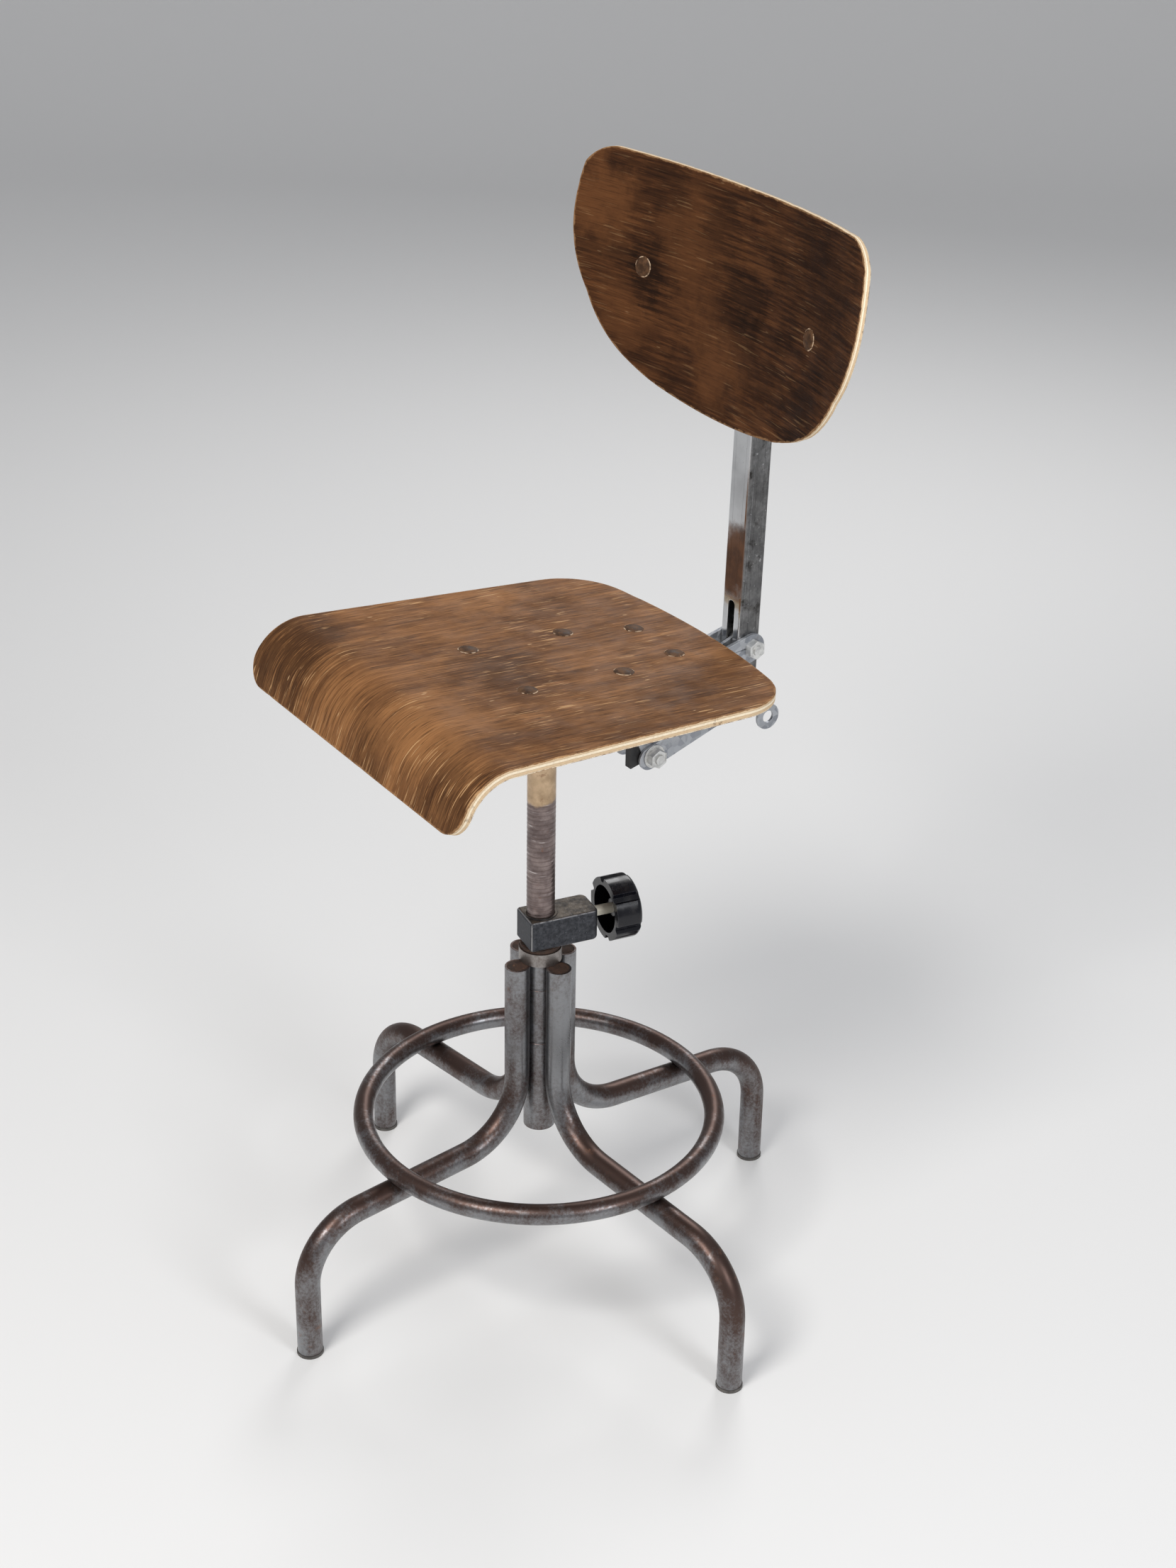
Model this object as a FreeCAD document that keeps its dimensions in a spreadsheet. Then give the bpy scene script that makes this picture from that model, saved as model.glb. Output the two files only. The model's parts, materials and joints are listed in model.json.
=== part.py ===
import FreeCAD, Part
import math
import os
import re

import Sketcher
from FreeCAD import Placement, Rotation, Vector

# Drafting chair: four-legged tube base with a welded foot ring, a screw spindle for
# the seat height, a moulded plywood seat and a plywood back on a tilting post.
# Millimetres. Origin: the column axis on the floor. The sitter looks along -Y, and
# the sitter's left is +X.

DIMENSIONS = {
    # base
    "leg_dia": 25.0, "leg_wall": 2.0, "leg_top": 352.0, "leg_inner_radius": 28.5,
    "left_reach": 290.5, "left_turn": 6.1, "rear_reach": 285.7, "rear_turn": 91.1,
    "right_reach": 278.5, "right_turn": 184.3, "front_reach": 283.9, "front_turn": 273.6,
    "leg_slope": 3.5, "leg_run_height": 148.4, "inner_bend": 70.0, "outer_bend": 66.0,
    "glide_dia": 26.5, "glide_rim": 3.0, "glide_plug": 12.0, "plug_depth": 3.0,
    "ring_radius": 179.0, "ring_dia": 20.5, "ring_wall": 1.8, "ring_height": 171.2,
    "column_dia": 32.0, "column_bore": 29.0, "column_bottom": 156.0, "column_top": 366.0,
    "groove_depth": 0.7, "groove_low": 260.0, "groove_high": 322.0,
    "collar_dia": 43.0, "washer_dia": 40.0, "washer_thick": 4.0,
    # clamp block, its threaded bush, the lock and its knob
    "block_front": 18.0, "block_back": 55.0, "block_wide": 38.0, "block_high": 33.0,
    "block_round": 7.0, "block_edge": 3.0, "block_turn": 79.6,
    "bush_dia": 33.0, "bush_proud": 0.8, "bush_bore": 28.1,
    "stud_dia": 10.6, "stud_high": 21.2, "pad_dia": 8.1, "pad_gap": 0.55,
    "pad_end": 27.0, "bore_step": 24.0, "bore_gap": 0.1,
    "knob_dia": 65.0, "knob_core": 55.6, "knob_deep": 28.0, "knob_rim": 69.2,
    "knob_cup": 49.0, "knob_face": 4.0, "knob_boss": 18.0, "knob_ribs": 6, "rib_wide": 23.6,
    "knob_edge": 5.0, "knob_turn": 17.0, "boss_sink": 8.0,
    # spindle and its guide
    "spindle_dia": 28.0, "spindle_top": 652.0, "shoulder": 284.0, "neck_dia": 20.0,
    "neck_bottom": 263.5, "guide_dia": 28.9, "guide_long": 20.0, "end_washer_dia": 27.0,
    "end_washer_thick": 3.0, "end_screw_dia": 8.0, "end_screw_head": 13.0,
    "end_head_high": 5.2, "guide_rise": 0.25,
    "hub_dia": 38.0, "hub_bottom": 598.0, "hub_pin_dia": 8.0, "hub_pin_height": 622.0,
    # seat
    "seat_height": 672.4, "seat_slope": 3.56, "seat_shift": 3.4, "seat_turn": -1.7,
    "seat_thick": 9.0, "seat_rear": 186.6, "seat_arch": 6.0, "seat_side": 196.1,
    "seat_front": 241.7, "waist": 175.5, "waist_y": 154.6, "side_round": 66.5,
    "seat_dish": 4.2, "lip_start": 152.2, "lip_bend": 54.8, "lip_angle": 72.3,
    "lip_straight": 20.3, "lip_round": 25.8,
    "plate_thick": 4.0, "plate_half": 66.0, "tail_half": 47.0, "tail_end": 139.0, "tail_start": 78.0,
    "bolt_side": 52.6, "bolt_fore": 53.0, "tail_bolt_side": 34.5, "tail_bolt_y": 122.9,
    "bolt_dia": 8.0, "bolt_head": 20.0, "bolt_dome": 2.2, "nut_flats": 13.0,
    "nut_high": 6.5, "thread_past": 3.0,
    # back-rest bracket and tilt link under the seat
    "cheek_inner": 16.4, "cheek_thick": 2.0, "doubler_thick": 2.0, "arm_slope": 14.0,
    "rear_pivot_y": 236.5, "rear_pivot_z": 636.0, "ear_radius": 14.5,
    "link_bolt_y": 117.0, "link_bolt_z": 551.0, "pivot_dia": 10.0, "pivot_flats": 17.0,
    "pivot_nut": 8.0, "pivot_past": 2.0, "link_pin_y": 233.5, "link_pin_z": 589.0,
    "link_pin_dia": 8.0,
    "link_thick": 3.0, "link_gap": 0.3, "link_half": 12.0, "slot_half": 5.6,
    "slot_fore": 5.0, "slot_aft": 7.0, "eye_y": 258.0, "eye_z": 557.0,
    "eye_dia": 27.0, "eye_hole": 12.6, "link_washer": 24.0, "link_washer_thick": 1.0,
    "tongue_thick": 3.0, "eye_neck": 8.0, "cheek_front": 22.0, "cheek_behind": 3.0,
    "arm_start": 166.0, "arm_under": 190.0, "lobe_in": 2.0, "web_ahead": 30.0, "web_up": 45.0,
    "web_rise": 55.0, "doubler_front": 172.0, "spacer_wall": 4.0, "bumper_wide": 9.0,
    # post and back rest
    "post_wide": 28.3, "post_deep": 26.1, "post_wall": 1.6, "post_corner": 2.5,
    "post_lean": 1.38, "post_front": 15.3, "post_below": 68.0, "post_above": 399.0,
    "slot_wide": 10.0, "slot_low": 40.0, "slot_high": 47.0, "sleeve_dia": 14.0,
    "back_y": 209.4, "back_z": 984.0, "back_lean": 7.47, "board_turn": -1.18,
    "board_roll": 0.86, "back_radius": 628.0, "back_thick": 6.0,
    "strap_thick": 3.0, "strap_high": 40.0, "strap_half": 150.0, "back_bolt_x": 128.0,
    "lug_thick": 3.0, "lug_gap": 0.35, "lug_reach": 46.0,
    "back_pivot_y": 33.2, "back_pivot_dia": 8.0, "cap_high": 6.0,
}

doc = FreeCAD.newDocument("DraftingChair")
sheet = doc.addObject("Spreadsheet::Sheet", "Sheet")
for row, (alias, number) in enumerate(DIMENSIONS.items(), 1):
    sheet.set("A%d" % row, alias)
    sheet.set("B%d" % row, str(number))
    sheet.setAlias("B%d" % row, alias)
doc.recompute()

STILL = Rotation()
ALONG_X = Rotation(Vector(0, 1, 0), 90)
TO_SITTER = Rotation(Vector(1, 0, 0), 90)
UPSIDE_DOWN = Rotation(Vector(1, 0, 0), 180)
WORLD = Placement()
TINY = 0.01
sub_parts = []


# ---------------------------------------------------------------- helpers

def size(alias):
    """A driving dimension, as the sheet holds it."""
    return float(getattr(sheet, alias))


def sine(degrees):
    return math.sin(math.radians(degrees))


def cosine(degrees):
    return math.cos(math.radians(degrees))


def tangent(degrees):
    return math.tan(math.radians(degrees))


def bound(text):
    """The expression with each alias read from the sheet."""
    return re.sub(r"[a-z][a-z_]+", lambda m: "Sheet." + m[0] if m[0] in DIMENSIONS else m[0], text)


def bind(item, **expressions):
    for name, text in expressions.items():
        item.setExpression(name, bound(text))
    return item


def frame(at=(0, 0, 0), turn=STILL):
    return Placement(Vector(*at), turn)


def keep(item, label):
    """Marks an object as a finished sub-part and names it."""
    item.Label = label
    sub_parts.append(item)
    return item


def cylinder(dia, height, where=WORLD):
    item = doc.addObject("Part::Cylinder", "Cylinder")
    bind(item, Radius="(%s) / 2" % dia, Height=height)
    item.Placement = where
    return item


def box(length, width, height, where=WORLD):
    item = doc.addObject("Part::Box", "Box")
    bind(item, Length=length, Width=width, Height=height)
    item.Placement = where
    return item


def hexagon(flats, height, where=WORLD):
    item = doc.addObject("Part::Prism", "Hexagon")
    item.Polygon = 6
    bind(item, Circumradius="(%s) / 2 / cos(30)" % flats, Height=height)
    item.Placement = where
    return item


def cut(base, *tools):
    item = doc.addObject("Part::Cut", "Cut")
    item.Base = base
    item.Tool = tools[0] if len(tools) == 1 else fuse(*tools)
    return item


def fuse(*shapes):
    item = doc.addObject("Part::MultiFuse", "Fusion")
    item.Shapes = list(shapes)
    return item


def common(base, tool):
    item = doc.addObject("Part::Common", "Common")
    item.Base = base
    item.Tool = tool
    return item


def group(*pieces):
    item = doc.addObject("Part::Compound", "Group")
    item.Links = list(pieces)
    return item


def ring(outer, inner, height, where=WORLD):
    return cut(cylinder(outer, height, where), cylinder(inner, height, where))


def new_body(label):
    item = doc.addObject("PartDesign::Body", "Body")
    item.Label = label
    return item


def new_sketch(body, role, offset=0.0):
    sketch = body.newObject("Sketcher::SketchObject", "Sketch")
    plane = next(f for f in body.Origin.OriginFeatures if f.Role == role)
    sketch.AttachmentSupport = [(plane, "")]
    sketch.MapMode = "FlatFace"
    sketch.AttachmentOffset = frame((0, 0, offset))
    return sketch


def add_circle(sketch, dia, centre=(0.0, 0.0)):
    """A circle whose diameter follows the sheet, with its centre held."""
    at = sketch.addGeometry(Part.Circle(Vector(centre[0], centre[1], 0), Vector(0, 0, 1), 5.0))
    number = sketch.addConstraint(Sketcher.Constraint("Diameter", at, 10.0))
    sketch.setExpression("Constraints[%d]" % number, bound(dia))
    for kind, value in zip(("DistanceX", "DistanceY"), centre):
        if abs(value) < 1e-9:
            side = -2 if kind == "DistanceX" else -1
            sketch.addConstraint(Sketcher.Constraint("PointOnObject", at, 3, side))
        else:
            sketch.addConstraint(Sketcher.Constraint(kind, -1, 1, at, 3, value))


def add_outline(sketch, start, *steps):
    """A closed outline: a step is a corner, or a pair (point on the arc, end of the arc)."""
    here = start
    for step in steps:
        if isinstance(step[0], tuple):
            middle, there = step
            edge = Part.Arc(Vector(*here, 0), Vector(*middle, 0), Vector(*there, 0))
        else:
            there = step
            edge = Part.LineSegment(Vector(*here, 0), Vector(*there, 0))
        sketch.addGeometry(edge)
        here = there


def pad(body, sketch, length, both_ways=False):
    item = body.newObject("PartDesign::Pad", "Pad")
    item.Profile = sketch
    item.SideType = "Symmetric" if both_ways else "One side"
    bind(item, Length=length)
    return item


def pocket(body, sketch, length="2 * spindle_top"):
    """A pocket cut to both sides of its sketch, so that its direction can't miss."""
    item = body.newObject("PartDesign::Pocket", "Pocket")
    item.Profile = sketch
    item.SideType = "Symmetric"
    bind(item, Length=length)
    return item


def round_edges(body, radius, test):
    """Rounds the edges of the body so far whose middle passes the test."""
    doc.recompute()
    tip = body.Tip
    names = []
    for number, edge in enumerate(tip.Shape.Edges, 1):
        middle = edge.valueAt((edge.FirstParameter + edge.LastParameter) / 2)
        ends = edge.BoundBox
        if test(middle, ends):
            names.append("Edge%d" % number)
    item = body.newObject("PartDesign::Fillet", "Fillet")
    item.Base = (tip, names)
    bind(item, Radius=radius)
    return item


def upright(middle, ends):
    return ends.ZLength > 1 and ends.XLength < TINY and ends.YLength < TINY


def domed_bolt(grip, where):
    """A round-headed bolt. Its head stands on z = 0 of the placement, its shank hangs below."""
    ball = doc.addObject("Part::Sphere", "Dome")
    bind(ball, Radius="(pow(bolt_head / 2; 2) + pow(bolt_dome; 2)) / (2 * bolt_dome)")
    drop = (size("bolt_head") / 2) ** 2 / (2 * size("bolt_dome")) - size("bolt_dome") / 2
    ball.Placement = where * frame((0, 0, -drop))
    head = common(cylinder("bolt_head", "bolt_dome", where), ball)
    shank = cylinder("bolt_dia", grip, where * frame(turn=UPSIDE_DOWN))
    return fuse(head, shank)


def nut(flats, bore, height, where):
    return cut(hexagon(flats, height, where), cylinder(bore, height, where))


# ---------------------------------------------------------------- base

def leg_path(sketch, far):
    """Down beside the column, round the inner bend, out under the foot ring, and down."""
    slope, inner, outer = size("leg_slope"), size("inner_bend"), size("outer_bend")
    near = size("leg_inner_radius")
    reach = tangent((90 - slope) / 2)
    near_z = size("leg_run_height") + (size("ring_radius") - near) * tangent(slope)
    far_z = size("leg_run_height") - (far - size("ring_radius")) * tangent(slope)
    half = (90 - slope) / 2
    bend_in = Vector(near + inner, near_z + inner * reach, 0)
    bend_out = Vector(far - outer, far_z - outer * reach, 0)

    def on(centre, radius, degrees):
        return centre + Vector(radius * cosine(degrees), radius * sine(degrees), 0)

    points = [
        Vector(near, size("leg_top"), 0),
        on(bend_in, inner, 180), on(bend_in, inner, 180 + half), on(bend_in, inner, 270 - slope),
        on(bend_out, outer, 90 - slope), on(bend_out, outer, half), on(bend_out, outer, 0),
        Vector(far, size("glide_rim"), 0),
    ]
    sketch.addGeometry(Part.LineSegment(points[0], points[1]))
    sketch.addGeometry(Part.Arc(points[1], points[2], points[3]))
    sketch.addGeometry(Part.LineSegment(points[3], points[4]))
    sketch.addGeometry(Part.Arc(points[4], points[5], points[6]))
    sketch.addGeometry(Part.LineSegment(points[6], points[7]))


def make_leg(number, where, foot_radius):
    body = new_body("leg_%d" % number)
    path = new_sketch(body, "XZ_Plane")
    leg_path(path, foot_radius)
    section = new_sketch(body, "XY_Plane", size("leg_top"))
    add_circle(section, "leg_dia", (size("leg_inner_radius"), 0.0))
    add_circle(section, "leg_dia - 2 * leg_wall", (size("leg_inner_radius"), 0.0))
    pipe = body.newObject("PartDesign::AdditivePipe", "Pipe")
    pipe.Profile = section
    pipe.Spine = (path, ["Edge%d" % k for k in range(1, 6)])
    body.Placement = where
    sub_parts.append(body)


def make_legs():
    """Hand-bent legs: each foot stands at its own reach and turn about the column."""
    plugs = []
    for number, side in enumerate(("left", "rear", "right", "front"), 1):
        where = frame(turn=Rotation(Vector(0, 0, 1), size(side + "_turn")))
        reach = size(side + "_reach")
        make_leg(number, where, reach)
        top = where * frame((size("leg_inner_radius"), 0, size("leg_top") - size("plug_depth")))
        plugs.append(cylinder("leg_dia - 2 * leg_wall", "plug_depth", top))
        foot = where * frame((reach, 0, 0))
        rim = cylinder("glide_dia", "glide_rim", foot)
        core = cylinder("leg_dia - 2 * leg_wall", "glide_plug", foot * frame((0, 0, size("glide_rim"))))
        keep(fuse(rim, core), "foot_glide_%d" % number)
    keep(group(*plugs), "leg_top_plugs")


def make_foot_ring():
    outer = doc.addObject("Part::Torus", "RingOutside")
    bind(outer, Radius1="ring_radius", Radius2="ring_dia / 2")
    inner = doc.addObject("Part::Torus", "RingInside")
    bind(inner, Radius1="ring_radius", Radius2="ring_dia / 2 - ring_wall")
    ring_tube = cut(outer, inner)
    ring_tube.Placement = frame((0, 0, size("ring_height")))
    keep(ring_tube, "foot_ring")


def make_column():
    low = frame((0, 0, size("column_bottom")))
    tube = ring("column_dia", "column_bore", "column_top - column_bottom", low)
    grooves = []
    for alias in ("groove_low", "groove_high"):
        groove = doc.addObject("Part::Torus", "Groove")
        bind(groove, Radius1="column_dia / 2 + groove_depth", Radius2="2 * groove_depth")
        groove.Placement = frame((0, 0, size(alias)))
        grooves.append(groove)
    keep(cut(tube, *grooves), "column_tube")
    on_legs = frame((0, 0, size("leg_top")))
    collar = ring("collar_dia", "column_dia", "column_top - leg_top", on_legs)
    keep(collar, "top_collar")
    keep(ring("washer_dia", "column_bore", "washer_thick", frame((0, 0, size("column_top")))),
         "thrust_washer")


def block_frame():
    """The foot of the clamp block on the spindle axis, X along the block to the knob."""
    bottom = size("column_top") + size("washer_thick")
    return frame((0, 0, bottom), Rotation(Vector(0, 0, 1), size("block_turn")))


def lock_frame(distance):
    """On the lock stud's axis at a distance from the spindle's axis, Z outwards."""
    return block_frame() * frame((distance, 0, size("stud_high")), ALONG_X)


def make_block():
    body = new_body("clamp_block")
    base = new_sketch(body, "XY_Plane")
    near, far, half = -size("block_front"), size("block_back"), size("block_wide") / 2
    add_outline(base, (near, -half), (far, -half), (far, half), (near, half), (near, -half))
    pad(body, base, "block_high")
    round_edges(body, "block_round", lambda m, ends: upright(m, ends) and m.x > 0)
    round_edges(body, "block_edge", lambda m, ends: upright(m, ends) and m.x < near + TINY)
    top = size("block_high")
    round_edges(body, "block_edge", lambda m, ends: ends.ZLength < TINY and m.z < TINY)
    round_edges(body, "block_edge", lambda m, ends: ends.ZLength < TINY and m.z > top - TINY)
    bore = new_sketch(body, "XY_Plane")
    add_circle(bore, "bush_dia")
    pocket(body, bore)
    stud_hole = new_sketch(body, "YZ_Plane", far)
    add_circle(stud_hole, "stud_dia + bore_gap", (0.0, size("stud_high")))
    pocket(body, stud_hole, "2 * (block_back - bore_step)")
    pad_hole = new_sketch(body, "YZ_Plane", size("bore_step"))
    add_circle(pad_hole, "pad_dia + bore_gap", (0.0, size("stud_high")))
    pocket(body, pad_hole, "2 * bore_step - bush_bore / 2")
    body.Placement = block_frame()
    sub_parts.append(body)
    bush = ring("bush_dia", "bush_bore", "block_high + bush_proud", block_frame())
    window = cylinder("pad_dia + bore_gap", "bore_step", lock_frame(0))
    keep(cut(bush, window), "threaded_bush")


def make_lock():
    tip = size("spindle_dia") / 2 + size("pad_gap")
    keep(cylinder("pad_dia", "pad_end - spindle_dia / 2 - pad_gap", lock_frame(tip)), "pressure_pad")
    keep(cylinder("stud_dia", "knob_rim + knob_deep - knob_face - pad_end",
                  lock_frame(size("pad_end"))), "knob_stud")
    make_knob()


def make_knob():
    """A cup with six broad ribs outside, open to the block, with a rounded closed end."""
    cup = new_body("KnobCup")
    plan = new_sketch(cup, "XY_Plane")
    add_circle(plan, "knob_core")
    pad(cup, plan, "knob_deep")
    rib = new_sketch(cup, "XY_Plane")
    rim, half = size("knob_dia") / 2, size("rib_wide") / 2
    root, shoulder = size("knob_boss"), math.sqrt(rim ** 2 - half ** 2)
    add_outline(rib, (root, -half), (shoulder, -half), ((rim, 0.0), (shoulder, half)), (root, half),
                (root, -half))
    first = pad(cup, rib, "knob_deep")
    ribs = cup.newObject("PartDesign::PolarPattern", "Ribs")
    ribs.Originals = [first]
    ribs.Axis = (plan, ["N_Axis"])
    ribs.Angle = 360
    bind(ribs, Occurrences="knob_ribs")
    cup.Tip = ribs
    hollow = new_sketch(cup, "XY_Plane")
    add_circle(hollow, "knob_cup")
    add_circle(hollow, "knob_boss")
    pocket(cup, hollow, "2 * (knob_deep - knob_face)")
    sink = new_sketch(cup, "XY_Plane")
    add_circle(sink, "knob_boss + 2 * bore_gap")
    pocket(cup, sink, "2 * boss_sink")
    stud_hole = new_sketch(cup, "XY_Plane")
    add_circle(stud_hole, "stud_dia")
    pocket(cup, stud_hole, "2 * (knob_deep - knob_face)")
    dome = new_body("KnobDome")
    disc = new_sketch(dome, "XY_Plane")
    add_circle(disc, "knob_dia")
    pad(dome, disc, "knob_deep")
    deep = size("knob_deep")
    round_edges(dome, "knob_edge", lambda m, ends: m.z > deep - TINY and ends.XLength > rim)
    for body in (cup, dome):
        turned = Rotation(Vector(0, 0, 1), size("knob_turn"))
        body.Placement = lock_frame(size("knob_rim")) * frame(turn=turned)
    keep(common(cup, dome), "lock_knob")


# ---------------------------------------------------------------- spindle and seat

def seat_frame(at=(0, 0, 0), turn=STILL):
    """On the seat's top at the spindle axis, tipped back by the seat's slope."""
    level = frame((0, size("seat_shift"), size("seat_height")),
                  Rotation(Vector(0, 0, 1), size("seat_turn")))
    return level * frame(turn=Rotation(Vector(1, 0, 0), -size("seat_slope"))) * frame(at, turn)


def make_spindle():
    main = cylinder("spindle_dia", "spindle_top - shoulder", frame((0, 0, size("shoulder"))))
    neck = cylinder("neck_dia", "shoulder - neck_bottom", frame((0, 0, size("neck_bottom"))))
    tapped = cylinder("end_screw_dia", "shoulder - neck_bottom", frame((0, 0, size("neck_bottom"))))
    across = frame((-size("hub_dia"), 0, size("hub_pin_height")), ALONG_X)
    pin_holes = [cylinder("hub_pin_dia", "2 * hub_dia", across) for use in ("spindle", "hub")]
    keep(cut(fuse(main, neck), tapped, pin_holes[0]), "spindle")
    end = size("neck_bottom") - size("end_washer_thick")
    keep(ring("end_washer_dia", "end_screw_dia", "end_washer_thick", frame((0, 0, end))),
         "spindle_end_washer")
    head = hexagon("end_screw_head", "end_head_high", frame((0, 0, end - size("end_head_high"))))
    shank = cylinder("end_screw_dia", "shoulder - neck_bottom + end_washer_thick", frame((0, 0, end)))
    keep(fuse(head, shank), "spindle_end_screw")
    above_washer = frame((0, 0, size("neck_bottom") + size("guide_rise")))
    keep(ring("guide_dia", "neck_dia + bore_gap", "guide_long", above_washer), "guide_ring")
    hub = ring("hub_dia", "spindle_dia", "spindle_top - hub_bottom + 2 * plate_thick",
               frame((0, 0, size("hub_bottom"))))
    under, wide = -(size("seat_thick") + size("plate_thick")), 2 * size("hub_dia")
    lid = box("4 * hub_dia", "4 * hub_dia", "2 * hub_dia", seat_frame((-wide, -wide, under)))
    keep(cut(hub, lid, pin_holes[1]), "seat_hub")
    half_pin = size("hub_dia") / 2 + size("bore_gap")
    keep(cylinder("hub_pin_dia", "hub_dia + 2 * bore_gap",
                  frame((-half_pin, 0, size("hub_pin_height")), ALONG_X)), "hub_pin")


def seat_bolt_places():
    places = [(x * size("bolt_side"), y * size("bolt_fore")) for x in (-1, 1) for y in (-1, 1)]
    return places + [(x * size("tail_bolt_side"), size("tail_bolt_y")) for x in (-1, 1)]


def seat_rise(x, y):
    """How far the dish lifts the seat's top at a place on its flat part."""
    along = (y + size("lip_start")) / (size("seat_rear") + size("lip_start"))
    return size("seat_dish") * (x / size("seat_side")) ** 2 * along


def seat_side_at(y):
    """Half the seat's width at a place from front to back."""
    lean = (size("seat_side") - size("waist")) / (size("seat_front") + size("waist_y"))
    return size("seat_side") - lean * (y + size("seat_front"))


def make_seat_section(body, across):
    """The seat's side profile at one place across it: the rear edges rise with the dish."""
    sketch = new_sketch(body, "YZ_Plane", across)
    start, bend, turn = -size("lip_start"), size("lip_bend"), size("lip_angle")
    rear, thick, run = size("seat_rear"), size("seat_thick"), size("lip_straight")
    rise = seat_rise(across, rear)

    def on_bend(depth, degrees):
        radius = bend - depth
        return (start + radius * cosine(90 + degrees), -bend + radius * sine(90 + degrees))

    def beyond(point):
        return (point[0] - run * cosine(turn), point[1] - run * sine(turn))

    top_end, low_end = on_bend(0, turn), on_bend(thick, turn)
    add_outline(
        sketch, (rear, rise), on_bend(0, 0), (on_bend(0, turn / 2), top_end), beyond(top_end),
        beyond(low_end), low_end, (on_bend(thick, turn / 2), on_bend(thick, 0)),
        (rear, rise - thick), (rear, rise),
    )
    return sketch


def make_seat_board():
    shell = new_body("SeatShell")
    stations = [k * size("seat_side") / 2 for k in range(-2, 3)]
    sections = [make_seat_section(shell, across) for across in stations]
    loft = shell.newObject("PartDesign::AdditiveLoft", "Loft")
    loft.Profile = sections[0]
    loft.Sections = sections[1:]
    shell.Placement = seat_frame()

    plan = new_body("SeatPlan")
    outline = new_sketch(plan, "XY_Plane")
    side, front = size("seat_side"), -size("seat_front")
    waist, corner_y = size("waist"), size("waist_y")
    arch = (0.0, size("seat_rear") - size("seat_arch"))
    add_outline(
        outline, (-side, front), (side, front), (waist, corner_y), (arch, (-waist, corner_y)),
        (-side, front),
    )
    pad(plan, outline, "4 * lip_bend", both_ways=True)
    round_edges(plan, "side_round", lambda m, ends: upright(m, ends) and m.y > 0)
    plan.Placement = seat_frame()
    board = common(shell, plan)
    through = [
        cylinder("bolt_dia", "2 * seat_thick", seat_frame((x, y, -size("seat_thick") * 1.5)))
        for x, y in seat_bolt_places()
    ]
    keep(cut(board, *through, make_lip_corner(1), make_lip_corner(-1)), "seat_board")


def make_lip_corner(side):
    """What is cut from a front corner of the seat, on the face of the rolled lip."""
    turn, bend, run = size("lip_angle"), size("lip_bend"), size("lip_straight")
    end_y = -size("lip_start") - bend * sine(turn) - run * cosine(turn)
    end_z = bend * (cosine(turn) - 1) - run * sine(turn)
    corner = new_body("LipCorner")
    face = new_sketch(corner, "XY_Plane")
    radius, wide, past = size("lip_round"), seat_side_at(end_y), size("bolt_dome")
    short = radius * (1 - cosine(45))
    add_outline(
        face, (side * (wide + past), -past), (side * (wide + past), radius), (side * wide, radius),
        ((side * (wide - short), short), (side * (wide - radius), 0.0)),
        (side * (wide - radius), -past), (side * (wide + past), -past),
    )
    pad(corner, face, "2 * lip_bend", both_ways=True)
    corner.Placement = seat_frame((0, end_y, end_z), Rotation(Vector(1, 0, 0), turn))
    return corner


def make_seat_plate():
    body = new_body("seat_plate")
    under = -(size("seat_thick") + size("plate_thick"))
    sketch = new_sketch(body, "XY_Plane", under)
    half, tail, end = size("plate_half"), size("tail_half"), size("tail_end")
    knee = size("tail_start")
    add_outline(
        sketch, (-half, -half), (half, -half), (half, half), (tail, knee), (tail, end),
        (-tail, end), (-tail, knee), (-half, half), (-half, -half),
    )
    pad(body, sketch, "plate_thick")
    round_edges(body, "bolt_dia", upright)
    holes = new_sketch(body, "XY_Plane")
    for place in seat_bolt_places():
        add_circle(holes, "bolt_dia", place)
    pocket(body, holes)
    body.Placement = seat_frame()
    sub_parts.append(body)
    bolts = []
    for x, y in seat_bolt_places():
        clear = seat_rise(abs(x) + size("bolt_head") / 2, y + size("bolt_head") / 2)
        place = seat_frame((x, y, clear + size("bore_gap") / 2))
        bolts.append(domed_bolt("seat_thick + plate_thick + nut_high + thread_past", place))
    keep(group(*bolts), "seat_bolts")
    nuts = [nut("nut_flats", "bolt_dia", "nut_high", seat_frame((x, y, under - size("nut_high"))))
            for x, y in seat_bolt_places()]
    keep(group(*nuts), "seat_nuts")


# ---------------------------------------------------------------- bracket and link

def along_arm(y):
    """Height of the arm's centre line, which climbs to the rear pivot."""
    return size("rear_pivot_z") - (size("rear_pivot_y") - y) * tangent(size("arm_slope"))


def ear_points():
    """The rounded rear end of the arm: top tangent point, rearmost point, bottom tangent point."""
    y, z, radius, slope = (size(a) for a in ("rear_pivot_y", "rear_pivot_z", "ear_radius", "arm_slope"))
    top = (y - radius * sine(slope), z + radius * cosine(slope))
    back = (y + radius * cosine(slope), z + radius * sine(slope))
    low = (y + radius * sine(slope), z - radius * cosine(slope))
    return top, back, low


def under_plate(y):
    """Height of the seat plate's underside."""
    drop = (size("seat_thick") + size("plate_thick")) / cosine(size("seat_slope"))
    return size("seat_height") - drop - (y - size("seat_shift")) * tangent(size("seat_slope"))


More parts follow.
